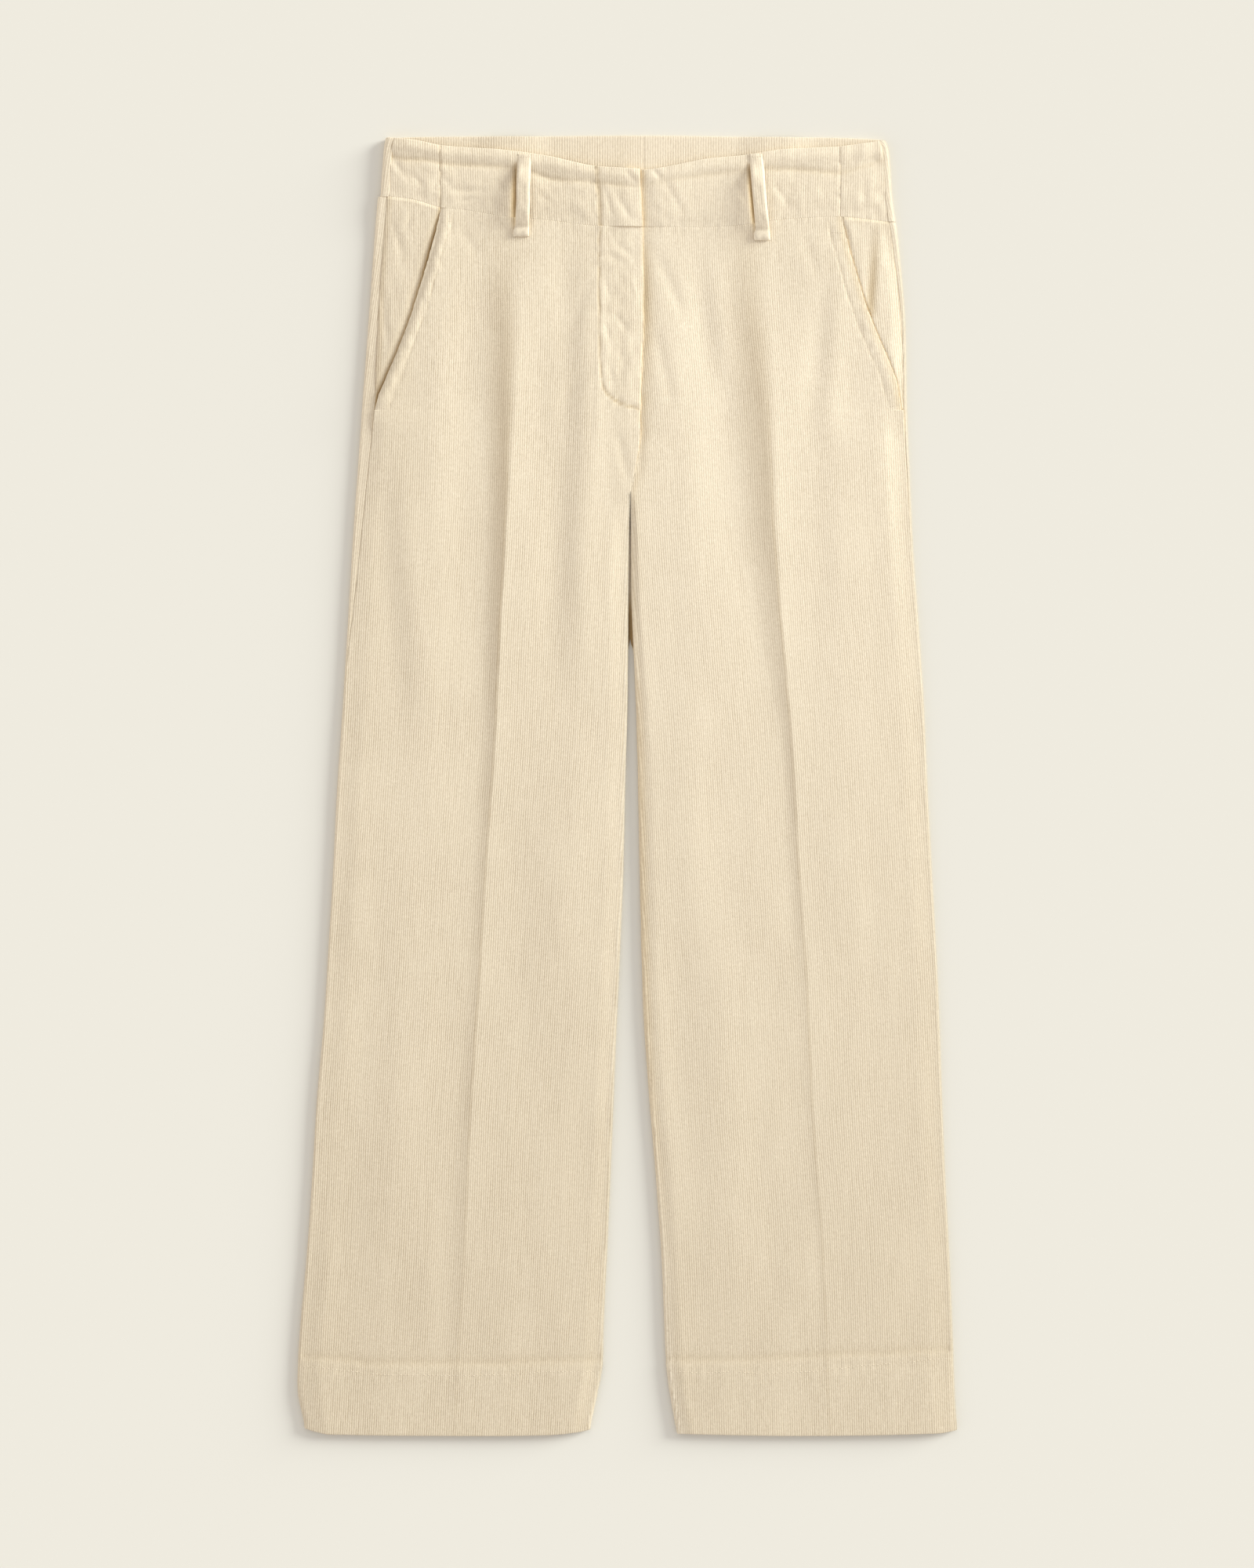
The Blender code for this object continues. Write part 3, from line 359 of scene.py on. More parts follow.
# Seeds of the noise, where a use may add a small number of its own, and of the stitches
DRAPE_SEED = {"left": 11, "right": 23}
PUCKER_SEED = 41
MOUTH_SEED = 43
CREASE_SEED = 45
SEWN_SEED = 45
LAP_SEED = 48
WANDER_SEED = 51
WEAR_SEED = 53
HIP_SEED = 61
BAND_SEED = 71
LOOP_SEED = 83
BAND_SEWN_SEED = 90
THREAD_SEED = 97

# (x, y) of the top and then of the foot of each front loop
FRONT_LOOPS = {"left": (-81.2, 499, -83.2, 434), "right": (101.4, 499.4, 107.4, 431)}


# ---------------------------------------------------------------- numbers


def ease(value):
    """A smooth step from 0 to 1."""
    value = np.clip(value, 0, 1)
    return value * value * (3 - 2 * value)


def between(value, start, end):
    """0 at start, 1 at end, smooth between them."""
    return ease((value - start) / (end - start))


def mix(a, b, share):
    return a + (b - a) * share


def bell(value, width):
    """1 where the value is 0, and fading on both sides of that."""
    return np.exp(-((value / width) ** 2))


def read(table, at, column=1):
    """A column of a table where its first column is `at`, on a smooth curve through the rows."""
    rows = np.array(sorted(table), dtype=float)
    keys, values = rows[:, 0], rows[:, column]
    last = len(keys) - 1
    low = np.maximum(np.arange(last + 1) - 1, 0)
    high = np.minimum(np.arange(last + 1) + 1, last)
    slopes = (values[high] - values[low]) / (keys[high] - keys[low])
    at = np.clip(at, keys[0], keys[-1])
    i = np.clip(np.searchsorted(keys, at, side="right") - 1, 0, last - 1)
    span = keys[i + 1] - keys[i]
    t = (at - keys[i]) / span
    t2 = t * t
    t3 = t2 * t
    return (
        (2 * t3 - 3 * t2 + 1) * values[i] + (t3 - 2 * t2 + t) * span * slopes[i]
        + (3 * t2 - 2 * t3) * values[i + 1] + (t3 - t2) * span * slopes[i + 1]
    )


LATTICE = 64


def noise(x, y, seed):
    """Smooth noise from -1 to 1 with features about one unit across."""
    grid = np.random.default_rng(seed).uniform(-1, 1, (LATTICE, LATTICE))
    x, y = np.broadcast_arrays(np.asarray(x, dtype=float), np.asarray(y, dtype=float))
    i, j = np.floor(x).astype(int), np.floor(y).astype(int)
    u, v = ease(x - i), ease(y - j)
    i, j = i % LATTICE, j % LATTICE
    k, m = (i + 1) % LATTICE, (j + 1) % LATTICE
    return mix(mix(grid[i, j], grid[k, j], u), mix(grid[i, m], grid[k, m], u), v)


def near_line(x, y, points):
    """The distance from a line through the points, and how far along it the nearest point is."""
    best = np.full(np.shape(x), 1e9)
    along = np.zeros(np.shape(x))
    passed = 0
    for (ax, ay), (bx, by) in zip(points, points[1:]):
        length = math.hypot(bx - ax, by - ay)
        t = np.clip(((x - ax) * (bx - ax) + (y - ay) * (by - ay)) / length ** 2, 0, 1)
        distance = np.hypot(x - mix(ax, bx, t), y - mix(ay, by, t))
        closer = distance < best
        best = np.where(closer, distance, best)
        along = np.where(closer, passed + t * length, along)
        passed += length
    return best, along


# Beside each front loop's left edge: (distance out from the edge, width)
LOOP_CREVICE = {"left": (1.2, 2.7), "right": (0.4, 1.9)}
LOOP_CREVICE_ENDS = (0.1, 0.92)


def beside_loops(x, y):
    """1 in the narrow hollow along the left edge of each front loop, 0 away from it."""
    total = 0
    low, high = LOOP_CREVICE_ENDS
    for side, (x_top, y_top, x_bottom, y_bottom) in FRONT_LOOPS.items():
        share = (y_top - y) / (y_top - y_bottom)
        out, width = LOOP_CREVICE[side]
        middle = mix(x_top, x_bottom, share) - LOOP_WIDTH / 2 - out
        taper = np.sin(math.pi * np.clip((share - low) / (high - low), 0, 1))
        total = total + np.sqrt(np.maximum(taper, 0)) * bell(x - middle, width)
    return total


# ---------------------------------------------------------------- surface of the legs


def outer_x(side, y):
    return SIGN[side] * read(OUTLINE[side], y)


def inset(side, x, y):
    """How far a point lies inside the outer edge."""
    return read(OUTLINE[side], y) - SIGN[side] * x


def from_inner(side, x, y):
    """How far a point lies inside the leg's inner edge."""
    return SIGN[side] * (x - read(INNER_EDGE[side], y))


def crease_form(side, y):
    """A crease's drop, the width of its flank, and how soft its ridge is."""
    return read(CREASE[side], y, 2), read(CREASE[side], y, 3), read(CREASE_SOFTNESS[side], y)


def crease_x(side, y):
    """The x of the pressed crease, with a slight waver."""
    return (
        read(CREASE[side], y) + 0.4 * noise(y / 15, 2.2, CREASE_SEED)
        + 0.2 * noise(y / 5, 2.2, CREASE_SEED + 1)
    )


def crease_relief(side, x, y):
    """A pressed ridge whose left flank steepens up to it, with a shallow trough beside that."""
    drop, width, softness = crease_form(side, y)
    middle = x - crease_x(side, y)
    ridge = CREASE_RIDGE_SHARE * drop
    total = 0
    for step in CREASE_SPREAD:
        offset = middle + step * softness
        right = ridge * np.exp(-np.maximum(offset, 0) / CREASE_GENTLE)
        out = np.maximum(-offset, 0)
        left = ridge - drop * (1 - (1 - np.minimum(out / width, 1)) ** 2)
        left = left + (drop - ridge) * between(out, width, width + CREASE_RECOVERY)
        total = total + np.where(offset >= 0, right, left)
    return total / len(CREASE_SPREAD)


def fold_relief(side, x, y):
    """The sum of the soft folds of one front."""
    total = 0
    for y_top, y_bottom, x_top, x_bottom, width, height in FOLDS[side]:
        along = np.clip((y_top - y) / (y_top - y_bottom), 0, 1)
        across = (x - mix(x_top, x_bottom, along)) / width
        rise = across * np.exp(0.5 * (1 - across * across))
        total = total + height * np.sin(math.pi * along) * rise
    return total


def mouth_x(side, y):
    """The x of the pocket mouth's edge, with the slight waver of a sewn edge."""
    waver = 0.3 * noise(y / 9, 4.4, MOUTH_SEED) + 0.3 * noise(y / 2.6, 2.4, MOUTH_SEED + 1)
    return read(POCKET_MOUTH[side], y) + waver * between(y, POCKET_FOOT, POCKET_FOOT + 12)


def in_mouth(side, x, y):
    """How far a point lies inside the edge of the pocket mouth."""
    return SIGN[side] * (mouth_x(side, y) - x)


def lap_x(y):
    """The x of the lap's edge, which wavers between the waistband and the fly's foot."""
    waver = 0.55 * noise(y / 15, 1.4, LAP_SEED) + 0.3 * noise(y / 6, 5.4, LAP_SEED + 1)
    ends = between(y, LAP_END, LAP_END + 20) * between(y, WAIST_SEAM - 6, WAIST_SEAM - 24)
    return read(CENTRE_FRONT, y) + waver * ends


def at_hem(y):
    """0 on the leg, 1 on the turned-up hem."""
    return between(y, HEM_LINE + HEM_LINE_BLUR, HEM_LINE - HEM_LINE_BLUR)


def hip_rise(y):
    """How much higher the pocket facing lies near the waist seam than further down."""
    return (HIP_TOP - HIP_HEIGHT) * between(y, *HIP_TOP_REACH)


def base_height(side, x, y):
    """Height of the outer face of the front, away from the edges, pockets and fly."""
    height = mix(read(LEG_HEIGHT, y), WAIST_HEIGHT, between(y, *WAIST_BLEND))
    height = mix(height, HEM_HEIGHT, at_hem(y))
    relief = crease_relief(side, x, y) + fold_relief(side, x, y)
    hip = between(y, POCKET_LEVEL_END, POCKET_FOOT + HIP_BLEND)
    hip = hip * (1 - between(inset(side, x, y), *HIP_REACH))
    height = mix(height + relief, HIP_HEIGHT + hip_rise(y), hip)
    over_leg = np.clip(height, LOWEST_FRONT, HIGHEST_FRONT)
    return np.where(y < HEM_LINE + HEM_LINE_BLUR, np.maximum(height, LOWEST_HEM), over_leg)


def leg_fold(y):
    """The radius of the legs' outer fold, which widens where it meets the waistband."""
    return mix(LEG_FOLD, LEG_FOLD_AT_WAIST, between(y, *FOLD_WIDENS))


def risen(radius, height, distance):
    """The rise from a folded edge to the cloth's full height, at a distance inside the edge."""
    return mix(2 * radius, height, between(distance, radius, EDGE_SLOPE_WIDTH))


def cloth_at(distance, y):
    """The wall's thickness: doubled at the hem, single beside the folded edges."""
    return mix(CLOTH, HEM_CLOTH, at_hem(y) * between(distance, LEG_FOLD, EDGE_SLOPE_WIDTH))


def seam_arc(distance, radius):
    """How far along a folded edge a point lies that is `distance` inside it."""
    on_fold = radius * np.arccos(1 - np.minimum(distance, radius) / radius)
    return on_fold + np.maximum(distance - radius, 0)


def front_lift(side, x, y):
    """What the front adds to the base: over the pocket facing, the fly and the underlap."""
    mouth = in_mouth(side, x, y)
    over_pocket = 1 - between(mouth, *POCKET_LIFT_FADE)
    over_pocket = over_pocket * between(y, POCKET_LEVEL_END, POCKET_FOOT)
    gape = POCKET_GAPE * read(POCKET_MOUTH[side], y, 2)
    gape = gape * (1 - ease(mouth / POCKET_GAPE_REACH))
    gape = gape * between(y - POCKET_FOOT, *POCKET_GAPE_BLEND)
    lift = (POCKET_LIFT - hip_rise(y)) * over_pocket + gape
    lap = read(CENTRE_FRONT, y)
    at_fly = between(y, LAP_LEVEL_END, LAP_END)
    if side == "left":
        on_fly = 1 - between(lap - x, FLY_WIDTH, FLY_WIDTH + FLY_RAISE_FADE)
        return lift + FLY_RAISE * at_fly * on_fly
    under = np.exp(-np.maximum(x - lap, 0) / UNDERLAP_REACH)
    return lift + (UNDERLAP_HEIGHT - base_height(side, x, y)) * at_fly * under


def waist_shift(table, x, y):
    """How far a row of a leg moves up or down so that the first one follows the waist seam."""
    fade = ease((y - WAIST_SEAM + SEAM_SHIFT_FADE) / SEAM_SHIFT_FADE)
    return (read(table, x) - WAIST_SEAM) * fade


def hem_shift(side, x, y):
    """How far a row moves so that the last one follows the leg's lower edge."""
    fade = ease((BOTTOM + HEM_CORNER_REACH - y) / HEM_CORNER_REACH)
    return (read(HEM_EDGE[side], x) - BOTTOM) * fade


# ---------------------------------------------------------------- fine form of the fronts


def wrinkle_relief(table, x, y):
    total = 0
    for x_start, y_start, x_end, y_end, width, height in table:
        dx, dy = x_end - x_start, y_end - y_start
        length = math.hypot(dx, dy)
        along = ((x - x_start) * dx + (y - y_start) * dy) / length ** 2
        across = ((x - x_start) * dy - (y - y_start) * dx) / length
        fade = between(along, -0.15, 0.3) * (1 - between(along, 0.7, 1.15))
        total = total + height * fade * bell(across, width)
    return total


def drape_relief(side, x, y):
    """Slight unevenness of cloth that was smoothed by hand, stretched along the leg."""
    seed = DRAPE_SEED[side]
    broad = 0.2 * noise(x / 30 + 9.3, y / 105 + 7.7, seed)
    narrow = 0.08 * noise(x / 13 + 4.1, y / 46 + 3.3, seed + 1)
    away = between(inset(side, x, y), 6, 20)
    return (broad + narrow) * away * between(from_inner(side, x, y), 5, 18)


# How deep and wide a sewn line sinks, how high and wide its puckers are, how much painted shade
# lies along it, and from where on it is unbroken
Sewing = namedtuple("Sewing", "depth width pucker reach shade whole")
SEWING = {
    "fly": Sewing(0.65, 1.2, 0.34, 5, 0.2, 118),
    "pocket": Sewing(0.4, 0.9, 0.26, 3.6, 0.05, 1000),
    "hem": Sewing(0.2, 0.8, 0.12, 5, 0.02, 1000),
}


def broken(along, seed, whole=1000):
    """A sewn line sinks more in some places than in others."""
    uneven = noise(along / 5.5, 8.3, seed) * (1 + 0.3 * noise(along / 2, 3.3, seed))
    return mix(0.55 + 0.45 * uneven, 0.85, between(along, whole, whole + 10))


def sewn_spot(line, x, y):
    """How far a point lies from a sewn line, which wavers slightly, and how far along it."""
    waver = 0.6 * noise(y / 9, 5.5, SEWN_SEED + 1) + 0.3 * noise(y / 3.6, 7.5, SEWN_SEED)
    return near_line(x + waver, y, line)


def sewn_lines(side, x, y):
    """Each sewn line of a front, with the distance from it, the place along it and its groove."""
    for name, sewing in SEWING.items():
        if name in SEWN[side]:
            distance, along = sewn_spot(SEWN[side][name], x, y)
            uneven = broken(along, PUCKER_SEED, sewing.whole)
            yield name, sewing, distance, along, uneven, bell(distance, sewing.width)


def above_line(side, name, x, y):
    """How far a point lies above a line that runs across the leg."""
    return y - np.interp(x, *np.array(SEWN[side][name]).T)


def sewn_relief(side, x, y):
    """Stitched grooves with small puckers across them, and the step over the hem allowance."""
    total = 0
    if side == "left":
        off = read(CENTRE_FRONT, y) - x
        on_fly = between(off, FLY_WIDTH + 4, FLY_WIDTH - 4) * between(y, FLY_FOOT, FLY_FOOT + 8)
        total = 0.22 * noise(x / 5.5, y / 8, PUCKER_SEED + 9) * on_fly
    for name, sewing, distance, along, uneven, groove in sewn_lines(side, x, y):
        total = total - sewing.depth * uneven * groove
        ripple = noise(along / 4.2, 3.7, PUCKER_SEED + len(name))
        total = total + sewing.pucker * ripple * bell(distance, sewing.reach)
    above = above_line(side, "allowance", x, y)
    total = total + 0.35 * (1 - between(above, -1.2, 1.4))
    return total - 0.22 * bell(above - 2.2, 2.6)


def pocket_puff(side, x, y):
    """The turned and stitched edge of a pocket mouth stands up a little, unevenly."""
    inside = in_mouth(side, x, y)
    share = np.clip(inside / POCKET_BAND, 0, 1)
    uneven = 1 + 0.8 * noise(y / 6.5, inside / 6, PUCKER_SEED + 5)
    uneven = uneven + 0.6 * noise(y / 2.9, inside / 3.6, PUCKER_SEED + 6)
    reach = between(y, POCKET_FOOT - 2, POCKET_FOOT + 12)
    return POCKET_BAND_PUFF[side] * np.sin(math.pi * share) * uneven * reach


SEAM_BLEND = 8


def seam_puckers(x):
    """The waist seam's own unevenness, the same on both sides of it."""
    return 0.16 * noise(x / 5.2 + 1.7, 2.2, PUCKER_SEED) + 0.1 * noise(x / 2.3, 6.2, PUCKER_SEED)


def rounded(inside, depths_and_widths):
    """How far a soft edge falls away, by the distance inside it."""
    return sum(
        depth * (1 - np.clip(inside / width, 0, 1)) ** 2
        for depth, width in depths_and_widths
    )


# (depth, width) of the bends that make the soft edge of each pocket mouth and of the lap
MOUTH_EDGE = {"left": ((0.5, 5), (0.4, 1.4)), "right": ((0.25, 9),)}
LAP_EDGE = ((0.45, 12), (0.1, 1.8))


def soft_edges(side, x, y):
    """The lap and the pocket mouths end in a soft turned edge."""
    inside = np.where(y > POCKET_FOOT, in_mouth(side, x, y), POCKET_BAND)
    total = rounded(inside, MOUTH_EDGE[side])
    if side == "left":
        total = total + rounded(np.where(y > LAP_END, lap_x(y) - x, FLY_WIDTH), LAP_EDGE)
    return total


def front_fine(side, x, y):
    """What the fronts have on top of their solid's form, by the true place of each point."""
    own = drape_relief(side, x, y) + wrinkle_relief(WRINKLES[side], x, y)
    own = own + sewn_relief(side, x, y) + pocket_puff(side, x, y)
    own = mix(seam_puckers(x), own, between(read(WAIST_FRONT, x) - y, 0, SEAM_BLEND))
    return own - soft_edges(side, x, y)


# ---------------------------------------------------------------- painted light and shade of the cloth

# Painted light falloff: the y span it rises over, the x span where the left side blends into the right
# (also used for the right's wear), and each side's lightness at the bottom and top
LIGHT_FALLOFF_ENDS = (-450, 360)
LEFT_RIGHT_BLEND = (-60, 30)
LIGHT_FALLOFF_LEFT = (0.89, 1.03)
LIGHT_FALLOFF_RIGHT = (0.895, 1.085)
# (y, share)
LAP_SHADE = [
    (441, 0.04), (425, 0.07), (405, 0.13), (385, 0.17), (360, 0.17), (340, 0.13), (315, 0.1),
    (290, 0.08), (262, 0.06), (231, 0.05),
]
LAP_RIM_SHADE = 0.04
MOUTH_RIM_SHADE = {"left": 0, "right": 0.09}
# (y, how dark the flank of a crease looks)
CREASE_SHADE = [(-514, 0.14), (100, 0.15), (200, 0.24), (300, 0.36), (441, 0.42)]
# (y, share): the thin line of painted shade along a crease
CREASE_LINE = {
    "left": [(-514, 0.03), (-360, 0.05), (-60, 0.09), (200, 0.09), (330, 0)],
    "right": [(-514, 0.04), (-360, 0.06), (-60, 0.07), (200, 0.09), (330, 0)],
}
# (y, share) of the painted shade just inside the right leg's inner edge, painted light where it is
# below zero
INNER_SHADE = [
    (-514, -0.05), (-440, -0.04), (-360, 0), (-260, 0.07), (-160, 0.12), (-60, 0.13), (40, 0.1),
    (110, 0),
]
# (y, share) of the shade on the slopes that are turned to the right
EDGE_SHADE = [(-514, 0.04), (-260, 0.03), (-60, 0.01), (60, 0.02), (300, 0.04)]
EDGE_SHADE_SPREAD = (8, 7)
# (share, reach) of the shade along the outer strips of a leg that turn to the left and right
RIM_SHADE = (((-0.09, 2.2),), ((0.06, 3.6), (0.3, 1.5), (0.14, 0.6)))
FRONT_LOOP_SHADE = 0.36
# Painted light and shade in patches: (x, y, half width, half height, share)
LIGHT_AND_SHADE_PATCHES = [
    (185, 140, 55, 150, 0.03), (50, 190, 36, 110, 0.022), (-45, -20, 45, 180, 0.018),
    (-192, 160, 26, 110, -0.04), (-205, -420, 80, 110, -0.03), (75, -450, 70, 80, -0.015),
    (-136, 405, 18, 45, -0.04), (203, 350, 14, 60, 0.035), (-145, 130, 16, 70, -0.025),
    (190, 275, 18, 45, 0.025), (40, 400, 14, 30, -0.025), (140, 400, 40, 60, -0.03),
    (-182, 325, 15, 40, -0.11), (-190, 385, 12, 40, -0.03), (-170, 260, 18, 40, -0.03),
]


def fade(x, y):
    """Painted light falloff: paler towards the waist and the right, where more light falls, with
    patches of painted light and shade.
    """
    up = np.clip((y - LIGHT_FALLOFF_ENDS[0]) / (LIGHT_FALLOFF_ENDS[1] - LIGHT_FALLOFF_ENDS[0]), 0, 1)
    base = mix(mix(*LIGHT_FALLOFF_LEFT, up), mix(*LIGHT_FALLOFF_RIGHT, up), between(x, *LEFT_RIGHT_BLEND))
    for middle_x, middle_y, half_x, half_y, share in LIGHT_AND_SHADE_PATCHES:
        away = ((x - middle_x) / half_x) ** 2 + ((y - middle_y) / half_y) ** 2
        base = base + share * np.exp(-away)
    return base


def beside_lap(x, y):
    """How dark the painted shade of the hollow that runs down just right of the lap's edge is."""
    off = x - lap_x(y)
    near = bell(off - 2.4, 2) * (0.8 + 0.5 * noise(y / 9, 6.1, LAP_SEED + 2))
    return read(LAP_SHADE, y) * (near + 0.5 * bell(off - 4.5, 4.5))


def crease_shade(side, x, y):
    """The steep flank of the pressed crease lies in its own soft shade."""
    drop, width, softness = crease_form(side, y)
    off = crease_x(side, y) - x
    steep = 2 * drop / width * (1 - np.clip(off / width, 0, 1))
    shade = read(CREASE_SHADE, y) * steep * between(off, -0.8 - softness, 1.6 + softness)
    return shade + read(CREASE_LINE[side], y) * broken(y, CREASE_SEED + 2) * bell(off - 0.8, 1)


def edge_shade(x, y):
    """Painted shade on the slopes of the leg edges that are turned to the right."""
    middle, spread = EDGE_SHADE_SPREAD
    near = bell(inset("right", x, y) - middle, spread)
    return read(EDGE_SHADE, y) * (near + bell(from_inner("left", x, y) - middle, spread))


def rim_shade(x, y):
    """Painted shade on the folded rims turned to the right, and painted light on those turned to the
    left.
    """
    total = 0
    for rims, outer, inner in zip(RIM_SHADE, ("left", "right"), ("right", "left")):
        for share, reach in rims:
            total = total + share * bell(inset(outer, x, y), reach)
            total = total + share * bell(from_inner(inner, x, y), reach) * (y < FRONT_FORK)
    return total


def front_tone(side, x, y):
    """Painted shade in the hollows along the sewing, beside the lap and above the hem allowance."""
    rim = bell(in_mouth(side, x, y) - 1.6, 2.6) * (y > POCKET_FOOT)
    tone = 1 - MOUTH_RIM_SHADE[side] * rim
    for _, sewing, _, _, uneven, groove in sewn_lines(side, x, y):
        tone = tone - sewing.shade * uneven * groove
    if side == "left":
        tone = tone - LAP_RIM_SHADE * bell(lap_x(y) - x - 0.8, 1.6) * (y > LAP_END)
    else:
        tone = tone - beside_lap(x, y)
        tone = tone - read(INNER_SHADE, y) * bell(from_inner(side, x, y) - 2, 4.5)
    tone = tone - crease_shade(side, x, y) - FRONT_LOOP_SHADE * beside_loops(x, y)
    return tone - 0.035 * bell(above_line(side, "allowance", x, y) - 3, 3.4)


# ---------------------------------------------------------------- meshes

# A panel's rows, its two ends in each row, and where its wales are counted from
Cut = namedtuple("Cut", "rows start end origin")
# A point's place, its normal's x and z, the cloth's thickness, the fine relief and the shade
Placed = namedtuple("Placed", "x y z out up cloth fine shade")
CORDUROY_INSIDE = 0.45
# The wales stray less, the nearer they come to a panel's edge within this distance
WANDER_MARGIN = 3
STEPS_PER_WALE = 3
# Painted shade on the inner faces: how light they stay in the slit between the legs, and higher up
INSIDE_SHADE = 0.42
INSIDE_SHADE_ABOVE = 0.95
INSIDE_SHADE_Y = (132, 158)


def wale_height(grain, pitch):
    """0 in a groove of the corduroy, 1 on the crest of a wale."""
    return np.minimum((1 - np.cos(2 * math.pi * grain / pitch)) / 1.5, 1)


def wale_wander(across, along):
    """How far the wales stray sideways, together and one by one."""
    return sum(
        size * noise(across / wide + 3.1, along / long + 6.4, WANDER_SEED + i)
        for i, (size, wide, long) in enumerate(WALE_WANDER)
    )


def wale_fullness(across, along, pitch):
    """How deep the grooves still are: less where the cloth is worn, and uneven everywhere."""
    worn = WALE_WEAR * between(noise(across / 21 + 5, along / 48 + 2, WEAR_SEED), -0.3, 0.8)
    uneven = 0.85 + 0.3 * noise(across / pitch + 1.5, along / 5, WEAR_SEED + 1)
    return (1 - worn) * uneven


def wale_columns(start, end, pitch):
    """Each row's points across a panel: along the wales, and cut off at the panel's edges."""
    step = pitch / STEPS_PER_WALE
    lines = np.arange(math.floor(start.min() / step), math.ceil(end.max() / step) + 1)
    low = (start + EDGE_STEPS[-1])[:, None]
    high = (end - EDGE_STEPS[-1])[:, None]
    inside = np.clip(lines[None, :] * step, low, high)
    inside = np.where(inside < low + EDGE_SNAP, low, inside)
    inside = np.where(inside > high - EDGE_SNAP, high, inside)
    left = start[:, None] + EDGE_STEPS[None, :]
    right = end[:, None] - EDGE_STEPS[None, ::-1]
    margin = len(EDGE_STEPS)
    coarse = [0] + [margin + i for i, line in enumerate(lines) if line % STEPS_PER_WALE == 0]
    return np.hstack([left, inside, right]), coarse + [len(lines) + 2 * margin - 1]


def point_ids(columns, first=0):
    """Numbers the points of a grid, where points of a row at one place are one point."""
    new = np.ones(columns.shape, dtype=bool)
    new[:, 1:] = np.diff(columns, axis=1) > 1e-6
    return np.cumsum(new.ravel()).reshape(columns.shape) - 1 + first, new


def turned(face, flipped):
    return face[::-1] if flipped else face


def grid_faces(ids, flipped):
    corners = [ids[:-1, :-1], ids[:-1, 1:], ids[1:, 1:], ids[1:, :-1]]
    faces = []
    for a, b, c, d in np.stack(corners, axis=-1).reshape(-1, 4).tolist():
        if a == b and c == d:
            continue
        face = (a, c, d) if a == b else (a, b, c) if c == d else (a, b, c, d)
        faces.append(turned(face, flipped))
    return faces


def rim_faces(outer_row, inner_row, coarse, flipped):
    """Joins an end of the fine outer grid to the same end of the coarser inner one."""
    faces = []
    for i, (here, there) in enumerate(zip(coarse, coarse[1:])):
        a, b = inner_row[i], inner_row[i + 1]
        if a != b:
            over = list(dict.fromkeys(outer_row[here:there + 1].tolist()))
            faces.append(turned(over[::-1] + [int(a), int(b)], flipped))
    return faces


def side_faces(outer, inner, flipped):
    corners = np.stack([outer[:-1], outer[1:], inner[1:], inner[:-1]], axis=-1)
    return [turned(tuple(face), flipped) for face in corners.tolist()]


def signed_volume(points, faces):
    """Positive where the faces point out."""
    corners = [(f[0], b, c) for f in faces for b, c in zip(f[1:-1], f[2:])]
    a, b, c = points[np.array(corners)].transpose(1, 0, 2)
    return float((a * np.cross(b, c)).sum())


def add_object(name, data):
    made = bpy.data.objects.new(name, data)
    bpy.context.scene.collection.objects.link(made)
    return made


def add_mesh(name, points, faces, material, values, walls=0):
    """A shaded piece from points in millimetres, with values at each point for the material.

    The last `walls` faces are the cut edges of the cloth, which meet its faces at a sharp corner.
    """
    if signed_volume(points, faces) < 0:
        faces = [face[::-1] for face in faces]
    mesh = bpy.data.meshes.new(name)
    mesh.from_pydata((points * MM).tolist(), [], faces)
    mesh.polygons.foreach_set("use_smooth", np.arange(len(faces)) < len(faces) - walls)
    for key, array in values.items():
        vector = np.ndim(array) == 2
        layer = mesh.attributes.new(key, "FLOAT_VECTOR" if vector else "FLOAT", "POINT")
        array = np.asarray(array, dtype=np.float32).ravel()
        layer.data.foreach_set("vector" if vector else "value", array)
    mesh.materials.append(material)
    piece = add_object(name, mesh)
    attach(piece, "root")
    return piece


